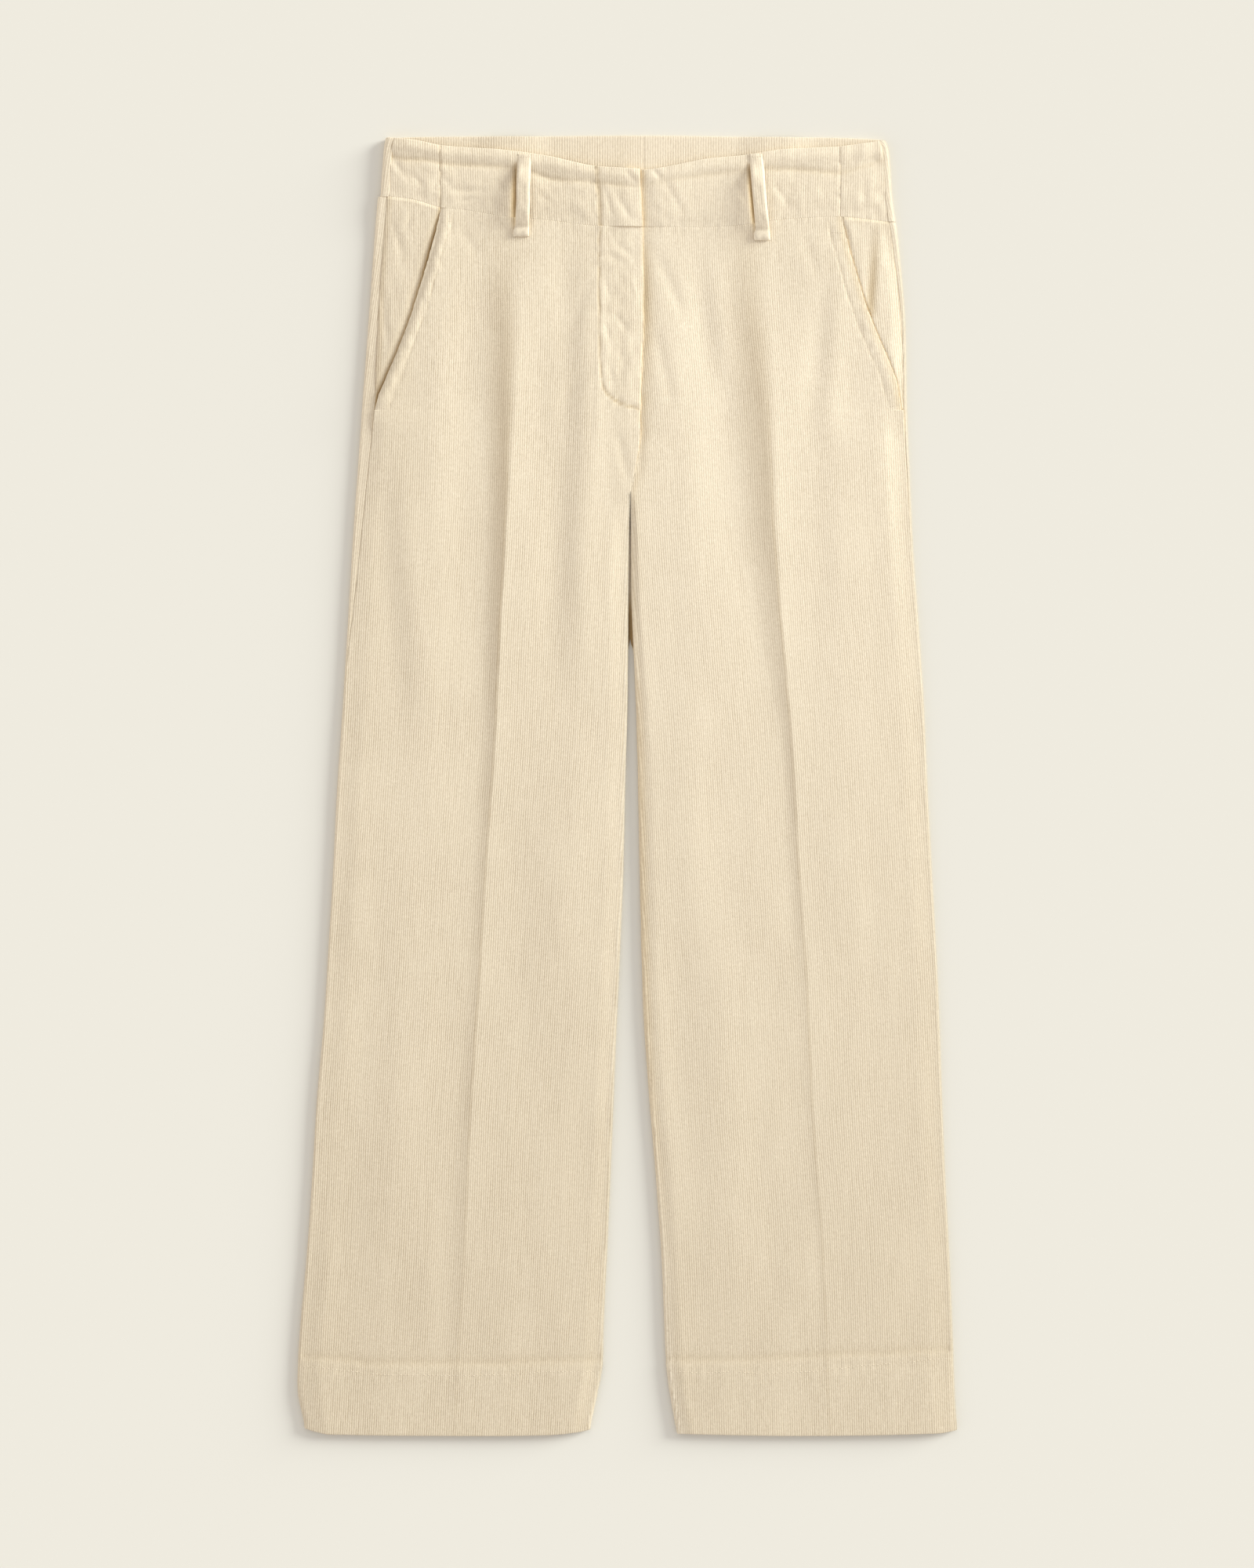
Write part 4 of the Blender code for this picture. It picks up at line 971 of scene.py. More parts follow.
def cloth(node, slot, cut, place, along=1, two_faced=False, sink=0, rolls=(SEAM_ROLL,) * 3,
          pitch=WALE, inner_follows=True):
    """The thin shell of one panel. Its outer face has the wales, its inner one is plain.

    `rolls` says how far the cloth turns in at the first row, at the last one and at the sides.
    """
    columns, coarse = wale_columns(cut.start - cut.origin, cut.end - cut.origin, pitch)
    if two_faced:
        coarse = list(range(columns.shape[1]))
    flat = columns + cut.origin[:, None]
    rows = np.broadcast_to(cut.rows[:, None], flat.shape)
    lengths = rows * along
    aside = np.minimum(flat - cut.start[:, None], cut.end[:, None] - flat)
    strayed = flat + wale_wander(flat, lengths) * np.clip(aside / WANDER_MARGIN, 0, 1)
    spot = Placed(*(np.broadcast_to(part, flat.shape) for part in place(strayed, rows)))
    fullness = wale_fullness(flat, lengths, pitch)
    fullness = fullness * mix(1, RIGHT_WEAR, between(spot.x, *LEFT_RIGHT_BLEND))
    hollow = (1 - wale_height(columns, pitch)) * fullness
    rolled = rounded(aside, [(rolls[2], SEAM_ROLL_WIDTH)])
    for row, depth in zip((0, -1), rolls):
        rolled = rolled + rounded(np.abs(lengths - lengths[row]), [(depth, SEAM_ROLL_WIDTH)])

    def moved(out):
        """The points of the panel, moved out of its face."""
        return np.stack([spot.x + spot.out * out, spot.y, spot.z + spot.up * out], axis=-1)

    outer = moved(WALE_PROUD - sink - WALE_DEPTH * hollow + spot.fine - rolled)
    drop = -spot.cloth
    if inner_follows:
        drop = drop + spot.fine
    if two_faced:
        drop = drop - WALE_PROUD + WALE_DEPTH * hollow + rolled
    inner = moved(drop)

    ids, new = point_ids(columns)
    first = int(ids.max()) + 1
    inner_ids, inner_new = point_ids(columns[:, coarse], first)
    faces = grid_faces(ids, False) + grid_faces(inner_ids, True)
    walls = rim_faces(ids[0], inner_ids[0], coarse, False)
    walls += rim_faces(ids[-1], inner_ids[-1], coarse, True)
    walls += side_faces(ids[:, 0], inner_ids[:, 0], False)
    walls += side_faces(ids[:, -1], inner_ids[:, -1], True)

    def both(values):
        """A value for each point of the outer face, then for each of the inner one."""
        return np.concatenate([values[new], values[:, coarse][inner_new]]).astype(float)

    points = np.vstack([outer[new], inner[:, coarse][inner_new]])
    wales, shade = both(1 - hollow), both(spot.shade)
    # Painted shade on the inner faces, darkest in the slit between the legs
    if not two_faced:
        wales[first:] = CORDUROY_INSIDE
        above = between(points[first:, 1], *INSIDE_SHADE_Y)
        shade[first:] *= mix(INSIDE_SHADE, INSIDE_SHADE_ABOVE, above)
    # tone holds the painted light falloff and the painted shade on right-facing edge slopes; shade
    # holds painted shade; rim holds painted shade and light on the rims
    values = {
        "wale": wales,
        "tone": both(fade(spot.x, spot.y) * (1 - edge_shade(spot.x, spot.y))),
        "shade": shade,
        "rim": both(1 - rim_shade(spot.x, spot.y)),
        "grain": both(np.stack([columns, lengths, np.zeros_like(columns)], axis=-1) * MM),
    }
    look = CLOTH_LOOK[slot]
    piece = add_mesh("cloth_" + node, points, faces + walls, look, values, len(walls))
    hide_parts(node)
    return piece


# ---------------------------------------------------------------- materials


def new_material(name, roughness, specular):
    """A material, what adds a node to it and gives its output, and what feeds its shader."""
    material = bpy.data.materials.new(name)
    material.use_nodes = True
    tree = material.node_tree

    def feed(node, values):
        for key, value in values.items():
            if isinstance(value, bpy.types.NodeSocket):
                tree.links.new(value, node.inputs[key])
            else:
                node.inputs[key].default_value = value

    def add(kind, output, values, **settings):
        node = tree.nodes.new("ShaderNode" + kind)
        for key, value in settings.items():
            setattr(node, key, value)
        feed(node, values)
        return node.outputs[output]

    def shade(values):
        feed(tree.nodes["Principled BSDF"], values)

    shade({"Roughness": roughness, "Specular IOR Level": specular})
    return material, add, shade


def cloth_shader(name, roughness, sheen):
    """A soft matt material, and what adds its nodes, its noise and its relief."""
    material, add, shade = new_material(name, roughness, 0.25)
    shade({"Sheen Weight": sheen, "Sheen Roughness": 0.55})

    def texture(vector, scale, detail, rough):
        values = {"Vector": vector, "Scale": scale, "Detail": detail, "Roughness": rough}
        return add("TexNoise", "Fac", values)

    def relief(height, strength, distance):
        values = {"Height": height, "Strength": strength, "Distance": distance}
        shade({"Normal": add("Bump", "Normal", values)})

    return material, add, shade, texture, relief


# How much faster the green and the blue fall in the painted light falloff and edge shade (tone), in the
# painted shade of the hollows (shade), and in the painted shade and light of the rims (rim)
TONE_POWERS = {"tone": (1, 1.1, 1.26), "shade": (1, 1.34, 2), "rim": (1, 1, 1)}


def corduroy_material(name, crest, groove):
    """Cream corduroy: grooves darker partly by their thinner pile and partly by painted shade, pile
    that varies along each wale, soft mottling, and the painted light and shade of the tone, shade and
    rim values.
    """
    material, add, shade, texture, relief = cloth_shader(name, 0.9, 0.18)

    def attribute(key, output="Fac"):
        return add("Attribute", output, {}, attribute_name=key)

    def ranged(source, low, high, to_low, to_high):
        values = {"From Min": low, "From Max": high, "To Min": to_low, "To Max": to_high}
        return add("MapRange", "Result", {"Value": source, **values})

    def product(a, b):
        return add("Math", "Value", {0: a, 1: b}, operation="MULTIPLY")

    grain = {"Vector": attribute("grain", "Vector"), "Scale": (900, 400, 1)}
    pile = texture(add("Mapping", "Vector", grain), 1, 2, 0.6)
    place = add("TexCoord", "Object", {})
    patches = texture(place, 14, 3, 0.55)
    flecks = texture(place, 420, 2, 0.6)
    tone = product(ranged(pile, 0.25, 0.75, 0.92, 1.08), ranged(patches, 0.3, 0.7, 0.99, 1.01))
    tone = product(tone, ranged(flecks, 0.3, 0.7, 0.965, 1.035))
    colours = {"Factor": attribute("wale"), "A": (*groove, 1), "B": (*crest, 1)}
    colour = add("Mix", "Result", colours, data_type="RGBA")
    for key, powers in TONE_POWERS.items():
        source = attribute(key)
        if key == "tone":
            source = product(tone, source)
        channels = {
            channel: add("Math", "Value", {0: source, 1: power}, operation="POWER")
            for channel, power in zip("XYZ", powers)
        }
        channels = add("CombineXYZ", "Vector", channels)
        colour = add("VectorMath", "Vector", {0: colour, 1: channels}, operation="MULTIPLY")
    shade({"Base Color": colour})
    fibres = texture(place, 2600, 2, 0.7)
    relief(add("Math", "Value", {0: fibres, 1: pile}, operation="ADD"), 0.5, 0.00012)
    return material


def thread_material():
    """Pale sewing thread with its twist."""
    material, add, shade, texture, relief = cloth_shader("thread", 0.65, 0.1)
    twist = texture(add("TexCoord", "Object", {}), 2400, 2, 0.6)
    colours = {"Factor": twist, "A": (0.68, 0.57, 0.41, 1), "B": (0.82, 0.72, 0.56, 1)}
    shade({"Base Color": add("Mix", "Result", colours, data_type="RGBA")})
    relief(twist, 0.6, 0.00008)
    return material


# (name, crest, groove): the grooves' darker colour is partly the cloth's own and partly painted shade
CLOTH_LOOK = {
    name: corduroy_material(name, crest, groove)
    for name, crest, groove in (
        ("corduroy", (0.808, 0.697, 0.522), (0.66, 0.538, 0.366)),
        ("waistband", (0.802, 0.69, 0.516), (0.66, 0.54, 0.37)),
        ("belt_loop", (0.765, 0.655, 0.487), (0.655, 0.535, 0.368)),
    )
}
THREAD = thread_material()


# ---------------------------------------------------------------- folded edges and rows


def spaced(start, end, step):
    return np.linspace(start, end, max(2, int(round(abs(end - start) / step)) + 1))


# Rows of a leg's first and last few millimetres
FIRST_ROWS = [WAIST_ROW, WAIST_ROW - 0.35, WAIST_ROW - 0.9, WAIST_ROW - 1.9]
LAST_ROWS = [BOTTOM + 1.9, BOTTOM + 0.9, BOTTOM + 0.35, BOTTOM]
SLOPE_STEP = 0.5
END_BLEND = (2, 16)


def quarter_of(radius):
    """Length of cloth round a quarter of a fold."""
    return radius * math.pi / 2


def spare_of(radius):
    """How much longer the cloth round that quarter is than its width."""
    return quarter_of(radius) - radius


FOLD_QUARTER = quarter_of(LEG_FOLD)
FOLD_SPARE = spare_of(LEG_FOLD)


def upright(height, x):
    """The height at x, and the outward normal's two parts there."""
    slope = (height(x + SLOPE_STEP) - height(x - SLOPE_STEP)) / (2 * SLOPE_STEP)
    length = np.hypot(1, slope)
    return height(x), -slope / length, 1 / length


def fold_spot(arc, radius):
    """Distance inside the edge, height and outward normal, `arc` on from the outermost point."""
    angle = arc / radius
    cos, sin = np.cos(angle), np.sin(angle)
    return radius * (1 - cos), radius * (1 + sin), cos, sin


def bent(folded, flat, fold, share=None):
    """The x, z and normal of each point: those on the fold where the cloth is folded."""
    return [
        np.where(folded, there if share is None else mix(here, there, share), here)
        for here, there in zip(flat, fold)
    ]


def wrapped(side, edge, inward, radius):
    """Cloth from the side seam over the outer fold to the underside, `inward` along it.

    Gives the way round the fold, how far past it on top and below, the distance inside the edge,
    the share from the underside to the top, and the x, z and normal.
    """
    quarter = quarter_of(radius)
    arc = -spare_of(radius) - inward
    distance, high, cos, sin = fold_spot(np.clip(arc, -quarter, quarter), radius)
    on_top, below = np.maximum(arc - quarter, 0), np.maximum(-quarter - arc, 0)
    distance = distance + on_top + below
    spot = edge - SIGN[side] * distance, high, SIGN[side] * cos, sin
    return arc, on_top, below, distance, between(arc, -quarter, quarter), spot


def ordered(side, outer, inner):
    """A panel's outer and inner ends from left to right."""
    return (outer, inner) if side == "left" else (inner, outer)


def seam_reach(side, y, radius, gap):
    """How far along the fold the side seam lies, with its gap."""
    return seam_arc(read(SIDE_SEAM[side], y), radius) + gap * SEAM_GAP / 2


def seam_end(side, y, radius):
    """Where a front or a pocket facing ends at the side seam, unrolled."""
    return outer_x(side, y) - SIGN[side] * (seam_reach(side, y, radius, 1) - spare_of(radius))


def seam_start(side, y, radius):
    """Where a back starts at the side seam, as the way along it from the outer edge."""
    return -spare_of(radius) - seam_reach(side, y, radius, -1)


# ---------------------------------------------------------------- fronts

# Close rows where there is sewing, wider ones down the leg
FRONT_ROWS = np.concatenate([
    FIRST_ROWS, spaced(WAIST_ROW - 3.4, POCKET_FOOT + 2.6, 2.4),
    [POCKET_FOOT + 0.8, POCKET_FOOT + 0.02, POCKET_FOOT - 0.02, POCKET_FOOT - 0.8],
    spaced(POCKET_FOOT - 2.6, 230, 3.2), spaced(226, -440, 9.2),
    spaced(-445, BOTTOM + 3, 2.5), LAST_ROWS,
])


def front_height(side, x, y):
    """Height of the front's outer face, away from its folded edges."""
    return risen(LEG_FOLD, base_height(side, x, y), inset(side, x, y)) + front_lift(side, x, y)


def inner_end(side, y):
    """Where the front ends at the fly, the centre seam or the inseam: unrolled, and flat."""
    edge = read(INNER_EDGE[side], y)
    lapped = between(y, FLY_FOOT, FLY_FOOT + UNDERLAP_END)
    if side == "right":
        centre = read(CENTRE_FRONT, y)
        flat = mix(centre + SEAM_GAP / 2, centre - UNDERLAP_WIDTH, lapped)
    else:
        flat = lap_x(y) - SEAM_GAP / 2 * (1 - lapped)
    flat = np.where(y < FRONT_FORK, edge, flat)
    folded = edge + SIGN[side] * (INSEAM_ARC - FOLD_SPARE)
    open_share = between(y, FRONT_FORK, FORK_OPEN_END)
    return mix(flat, folded, open_share), flat, open_share


def build_front(side):
    sign = SIGN[side]

    def place(flat, y):
        end, end_flat, opened = inner_end(side, y)
        from_end = sign * (flat - end)
        x = flat + (end_flat - end) * (1 - between(from_end, *END_BLEND))
        leg = np.where(y < FRONT_FORK, opened, 0)

        def height(at):
            """The outer face's height, which falls to the leg's inner fold below the fork."""
            high = front_height(side, at, y)
            width = read(INNER_SLOPE[side], y)
            share = between(from_inner(side, at, y), LEG_FOLD, width)
            return mix(high, mix(2 * LEG_FOLD, high, share), leg)

        z, out, up = upright(height, x)
        arc = sign * (outer_x(side, y) - flat) + FOLD_SPARE
        distance, high, cos, sin = fold_spot(arc, LEG_FOLD)
        fold = outer_x(side, y) - sign * distance, high, sign * cos, sin
        spot = bent((arc < FOLD_QUARTER) & (y < POCKET_FOOT), (x, z, out, up), fold)
        arc = from_end + INSEAM_ARC
        distance, high, cos, sin = fold_spot(arc, LEG_FOLD)
        fold = read(INNER_EDGE[side], y) + sign * distance, high, -sign * cos, sin
        x, z, out, up = bent((arc < FOLD_QUARTER) & (y < FRONT_FORK), spot, fold, opened)
        length = np.hypot(out, up)

        outside = inset(side, x, y)
        wall = cloth_at(np.minimum(outside, from_inner(side, x, y)), y)
        true_y = y + waist_shift(WAIST_FRONT, x, y) + hem_shift(side, x, y)
        fine = front_fine(side, x, true_y) * between(outside, 1, 5)
        fine = np.where(z > LOWEST_FRONT, np.maximum(fine, LOWEST_FRONT - z), fine)
        tone = front_tone(side, x, true_y)
        return Placed(x, true_y, z, out / length, up / length, wall, fine, tone)

    y = FRONT_ROWS
    outer = np.where(y < POCKET_FOOT, seam_end(side, y, LEG_FOLD), mouth_x(side, y))
    cut = Cut(y, *ordered(side, outer, inner_end(side, y)[0]), read(CREASE[side], y))
    return cloth("front_" + side, "corduroy", cut, place, rolls=BESIDE_WAIST)


# ---------------------------------------------------------------- backs

BACK_ROWS = np.concatenate([
    FIRST_ROWS, spaced(WAIST_ROW - 6, 130, 9), spaced(122, 92, 5),
    spaced(80, -440, 12.5), spaced(-450, BOTTOM + 5, 6), LAST_ROWS,
])
BACK_CREASE_REACH = 30


def back_ends(side, y):
    """The back's unrolled ends, as distances in from the outer edge along the underside."""
    sign = SIGN[side]
    width = sign * (outer_x(side, y) - read(INNER_EDGE[side], y))
    seam_x = read(CENTRE_BACK, y) + sign * SEAM_GAP / 2
    flat = sign * (outer_x(side, y) - seam_x)
    opened = between(y, BACK_FORK, BACK_FORK_END)
    end = mix(flat, width + FOLD_SPARE - INSEAM_ARC, opened)
    return seam_start(side, y, leg_fold(y)), end, mix(flat, width, opened), opened


def back_fine(side, x, y):
    """The back rests on its pressed crease and on broad patches. The rest stands just clear."""
    off = x - read(CREASE[side], y)
    hollow = 0.42 * (1 - bell(off, 5)) * bell(off, BACK_CREASE_REACH)
    broad = 0.5 * between(noise(x / 34 + 6, y / 120 + 1, DRAPE_SEED[side] + 7), 0, 0.9)
    narrow = 0.2 * between(noise(x / 12 + 2, y / 60, DRAPE_SEED[side] + 8), 0.1, 0.9)
    return -np.minimum(hollow + broad + narrow, 0.6) - 0.2 * bell(above_line(side, "hem", x, y), 1)


def build_back(side):
    sign = SIGN[side]

    def place(inward, y):
        _, end, end_flat, opened = back_ends(side, y)
        radius = leg_fold(y)
        arc, on_top, _, distance, top, spot = wrapped(side, outer_x(side, y), inward, radius)
        x, high, out, up = spot
        z = np.where(on_top > 0, risen(radius, base_height(side, x, y), distance), high)

        from_end = end - inward
        x = x - sign * ((end_flat - end) * (1 - between(from_end, *END_BLEND)))
        way = INSEAM_ARC + from_end
        distance, high, cos, sin = fold_spot(-np.minimum(way, FOLD_QUARTER), LEG_FOLD)
        distance = distance + np.maximum(way - FOLD_QUARTER, 0)
        fold = read(INNER_EDGE[side], y) + sign * distance, high, -sign * cos, sin
        folded = (way < 2 * FOLD_QUARTER) & (y < BACK_FORK)
        x, z, out, up = bent(folded, (x, z, out, up), fold, opened)
        length = np.hypot(out, up)

        inside = from_inner(side, x, y)
        wall = cloth_at(np.minimum(inset(side, x, y), inside), y)
        shift = mix(waist_shift(WAIST_BACK, x, y), waist_shift(WAIST_FRONT, x, y), top)
        true_y = y + shift + hem_shift(side, x, y)
        fine = back_fine(side, x, true_y) * between(-arc, 4, 22)
        fine = fine * mix(1, between(inside, 4, 20), opened)
        return Placed(x, true_y, z, out / length, up / length, wall, fine, 1)

    y = BACK_ROWS
    crease = sign * (outer_x(side, y) - read(CREASE[side], y))
    cut = Cut(y, *back_ends(side, y)[:2], crease)
    return cloth("back_" + side, "corduroy", cut, place, sink=WALE_PROUD, inner_follows=False)


# ---------------------------------------------------------------- pocket facings

MOUTH_SHADE = {"left": 0.5, "right": 0.07}
HIP_HOLLOW = [(196.4, 440), (195, 412), (192.2, 374)]
SEAM_SHADE = {"left": 0.08, "right": 0.02}
HIP_SWELL = {"left": 0.7, "right": 1.5}
HIP_SWELL_REACH = {"left": (1.4, 7), "right": (-0.3, 0.8)}
HIP_SWELL_FADE = (2, 14)
# (share, reach) of the shade on the facing just below the waist seam
HIP_TOP_SHADE = {"left": (0.03, 2), "right": (0.08, 2.2)}


def hip_shade(side, x, y):
    """Painted shade in the soft hollow of the right facing, deepest at its lower end by the pocket's
    edge.
    """
    if side == "left":
        return 0
    distance, along = near_line(x, y, HIP_HOLLOW)
    return 0.22 * bell(distance, 3.4) * between(along, -20, 55)


def build_hip_panel(side):
    """The facing behind a pocket mouth, from the side seam to just under the front."""
    sign = SIGN[side]

    def place(flat, y):
        radius = leg_fold(y)
        quarter = quarter_of(radius)
        arc = sign * (outer_x(side, y) - flat) + spare_of(radius)
        distance, high, cos, sin = fold_spot(np.minimum(arc, quarter), radius)
        distance = distance + np.maximum(arc - quarter, 0)
        x = outer_x(side, y) - sign * distance

        def height(at):
            return risen(radius, base_height(side, at, y), inset(side, at, y))

        z, out, up = bent(arc < quarter, upright(height, x), (high, sign * cos, sin))
        true_y = y + waist_shift(WAIST_FRONT, x, y)
        below = read(WAIST_FRONT, x) - true_y
        beside = -in_mouth(side, x, y)
        rise = hip_rise(y)
        gape = read(POCKET_MOUTH[side], y, 2) * MOUTH_SHADE[side]
        fine = 0.26 * noise(x / 11 + 2, true_y / 26 + 5, HIP_SEED)
        fine = fine + 0.12 * noise(x / 5, true_y / 9, HIP_SEED + 2)
        fine = fine + wrinkle_relief(HIP_WRINKLES[side], x, true_y)
        fine = fine - 0.3 * gape * bell(beside, 5)
        fine = mix(seam_puckers(x), fine, between(below, 0, SEAM_BLEND))
        shown = between(beside, -1, mix(0.6, 5, between(below, 0, 14)))
        swell = HIP_SWELL[side] * between(beside, *HIP_SWELL_REACH[side])
        swell = swell * between(arc, *HIP_SWELL_FADE) * (1 - rise / (HIP_TOP - HIP_HEIGHT))
        fine = fine * shown - (0.25 + rise) * (1 - shown) + swell

        # Painted shade in the gaping pocket mouth, in the facing's hollow, just below the waist seam
        # and beside the side seam
        tone = 1 - gape * bell(np.maximum(beside - 0.5, 0), 1.3)
        tone = tone - 0.2 * gape * bell(beside, 5) - hip_shade(side, x, true_y)
        share, reach = HIP_TOP_SHADE[side]
        tone = tone - share * bell(below, reach)
        from_seam = sign * (outer_x(side, y) - x) - read(SIDE_SEAM[side], y)
        tone = tone - SEAM_SHADE[side] * bell(from_seam - 1.6, 2.4)
        return Placed(x, true_y, z, out, up, CLOTH, fine * between(arc, 2, 7), tone)

    y = spaced(WAIST_ROW, HIP_PANEL_FOOT, 2.9)
    inner = read(POCKET_MOUTH[side], y) - sign * POCKET_TURN
    cut = Cut(y, *ordered(side, seam_end(side, y, leg_fold(y)), inner), read(CREASE[side], y))
    return cloth("hip_panel_" + side, "corduroy", cut, place, rolls=(0, 0, SIDE_ROLL[side]))


# ---------------------------------------------------------------- waistband

BAND_DEPTH = 48
# (share of the way up the waistband, relief)
BAND_PROFILE = [
    (0, -0.55), (0.04, -0.15), (0.12, 0.12), (0.3, 0.2), (0.5, 0.1), (0.8, 0), (0.9, 0.1), (1, -0.1),
]
BAND_CREST = 0.1
# (x, y of the rolled crease, depth of it)
ROLL_CREASE = [
    (-193, 499.5, 0.9), (-180, 496, 1.35), (-157, 494.6, 1.3), (-144, 492, 1.1), (-120, 490.6, 1.3),
    (-99, 489.2, 1), (-88, 487.6, 0.6), (-70, 483.2, 0.9), (-60, 480.2, 1.2), (-28, 477.4, 0.8),
    (-8, 475, 1), (9, 473.6, 0.5), (24, 477, 0.45), (60, 482.6, 0.7), (93, 486, 0.6), (110, 487.6, 1.1),
    (140, 487, 1.35), (167, 484.8, 1.1), (183, 488, 0.8), (206, 496, 0.5),
]
BAND_SHARES = np.concatenate([[0, 0.008, 0.02, 0.04], np.linspace(0.07, 0.95, 27),
                              [0.97, 0.984, 0.994, 1]])
LOOP_HOLLOW = 1.3
LOOP_SHADE = 0.5
ROLL_SHADE = 0.055
BAND_LAP_SHADE = 0.1
FLUSH_SHARE = 0.3
FLUSH_FROM_LAP = (12, 30)
# How far the upright wales of the waistband lean towards its top edge
BAND_LEAN = {"left": -1.5, "right": 1.2}
# (points, depth, width, shade): the fly stitching's upper end and the waistband's upright seams
BAND_SEWN = [
    ([(-25.1, 492), (-24.4, 488.6), (-21.6, 458.8), (-21.8, 440)], 0.6, 1.9, 0.22),
    ([(-148, 508), (-148, 455)], 0.4, 1.4, 0.07), ([(168.4, 507), (168.4, 448)], 0.3, 1.4, 0),
]


def band_y(table, x, share):
    return mix(read(table, x, 1), read(table, x, 2), share)


def fold_y(side, share):
    """Height of the waistband's side fold, between its lower seam and its top edge."""
    return band_y(WAIST_FRONT, SIGN[side] * SIDE_FOLD_X, share)


def band_height(side, x, y, relief):
    """Height of the front waistband's outer face, with the lap at the centre."""
    lap = read(CENTRE_FRONT, y)
    height = BAND_HEIGHT + relief
    if side == "left":
        return mix(OVER_BAND_HEIGHT, height, between(lap - x, *BAND_LAP_BLEND))
    under = np.exp(-np.maximum(x - lap, 0) / UNDER_BAND_REACH)
    return mix(height, UNDER_BAND_HEIGHT, under)


def band_sewn(x, y):
    """How deep the waistband's sewn lines sink, how puckered they are and how much painted shade lies
    in them.
    """
    sunk, puckered, dark = 0, 0, 0
    for i, (line, depth, width, shade) in enumerate(BAND_SEWN):
        distance, along = sewn_spot(line, x, y)
        groove = broken(along, BAND_SEWN_SEED + i) * bell(distance, width)
        sunk = sunk + depth * groove
        dark = dark + shade * groove
        beside = np.sign(x - line[0][0]) * 2 + 5
        ripple = noise(along / 3.4, beside, BAND_SEWN_SEED + 4 + i)
        puckered = puckered + 0.34 * ripple * bell(distance, 5)
    return sunk, puckered, dark


def band_fine(side, x, y, share):
    """The rolled crease below the top edge, wrinkles, and puckers at the seams."""
    below = y - read(ROLL_CREASE, x)
    depth = read(ROLL_CREASE, x, 2) * (0.85 + 0.3 * noise(x / 17, 1.5, BAND_SEED))
    roll = 0.35 * bell(below, 5.6) + 0.6 * bell(below, 1.5)
    crown = 0.7 * bell(share - 0.87, 0.09)
    puckers = 0.24 * noise(x / 4.6 + 2.2, share * 3, BAND_SEED + 2)
    puckers = puckers * (np.exp(-share / 0.16) + 0.35)
    soft = 0.32 * noise(x / 19 + 1.1, share * 2.2 + 4, BAND_SEED + 4)
    soft = soft + 0.2 * noise(x / 7.5 + 3.1, share * 6.5 + 1, BAND_SEED + 6)
    sunk, puckered, _ = band_sewn(x, y)
    hollow = LOOP_HOLLOW * beside_loops(x, y) + sunk
    if side == "left":
        hollow = hollow + rounded(read(CENTRE_FRONT, y) - x, LAP_EDGE)
    soft = soft + puckers + puckered + wrinkle_relief(BAND_WRINKLES, x, y)
    own = crown - depth * roll + soft
    return mix(seam_puckers(x), own, between(share, 0, SEAM_BLEND / BAND_DEPTH)) - hollow


def band_tone(x, y):
    """Painted shade in the rolled crease, beside the loops, just right of the lap and in the sewn
    lines.
    """
    below = y - read(ROLL_CREASE, x)
    crease = ROLL_SHADE * read(ROLL_CREASE, x, 2) * bell(below, 2.2)
    lap = BAND_LAP_SHADE * bell(x - read(CENTRE_FRONT, y) - 2, 2.6)
    return 1 - crease - lap - band_sewn(x, y)[2] - LOOP_SHADE * beside_loops(x, y)


def leg_top(side, x):
    """Height of the leg's cloth where the waistband meets it."""
    base = base_height(side, x, WAIST_ROW)
    on_hip = risen(LEG_FOLD_AT_WAIST, base, inset(side, x, WAIST_ROW))
    covered = SIGN[side] * (read(POCKET_MOUTH[side], WAIST_ROW) - x) > 0
    return np.where(covered, front_height(side, x, WAIST_ROW), on_hip)


def build_band_piece(part, side):
    """The part of the front waistband inside its upright seam, or the short one outside it."""
    sign = SIGN[side]

    def place(x, share):
        y = band_y(WAIST_FRONT, x, share)
        lap = read(CENTRE_FRONT, y)
        inside = inset(side, x, y)
        high = risen(BAND_FOLD, band_height(side, x, y, read(BAND_PROFILE, share)), inside)
        flush = between(share, FLUSH_SHARE, 0) * between(np.abs(lap - x), *FLUSH_FROM_LAP)
        high = mix(high, leg_top(side, x), flush)
        fine = band_fine(side, x, y, share)
        if side == "right":
            fine = fine * between(x - lap, -1, 6)
        fine = fine * between(inside, 3, 8)
        return Placed(x, y, high, 0, 1, BAND_CLOTH, fine, band_tone(x, y))

    if part == "front":
        lap = read(CENTRE_FRONT, mix(*BAND_ENDS, BAND_SHARES))
        inner = lap if side == "left" else lap - UNDERLAP_WIDTH
        outer = np.full_like(inner, BAND_SEAM_X[side] - sign * SEAM_GAP / 2)
    else:
        y = fold_y(side, BAND_SHARES)
        inner = np.full_like(y, BAND_SEAM_X[side] + sign * SEAM_GAP / 2)
        outer = outer_x(side, y) - sign * (read(SIDE_SEAM[side], y) + SEAM_GAP / 2)
    cut = Cut(BAND_SHARES, *ordered(side, outer, inner), BAND_LEAN[side] * BAND_SHARES)
    return cloth(f"waistband_{part}_{side}", "waistband", cut, place, along=BAND_DEPTH,
                 pitch=BAND_WALE, rolls=BESIDE_WAIST)


def back_loop_lift(x, share):
    """How far the back waistband lies above the floor over a back loop."""
    lift = 0
    for middle in BACK_LOOP_X.values():
        lift = np.maximum(lift, 1 - between(np.abs(x - middle), *BACK_LOOP_HUMP))
    return BACK_LOOP_LIFT * lift * between(share, 0, BACK_LOOP_LIFT_SHARE)


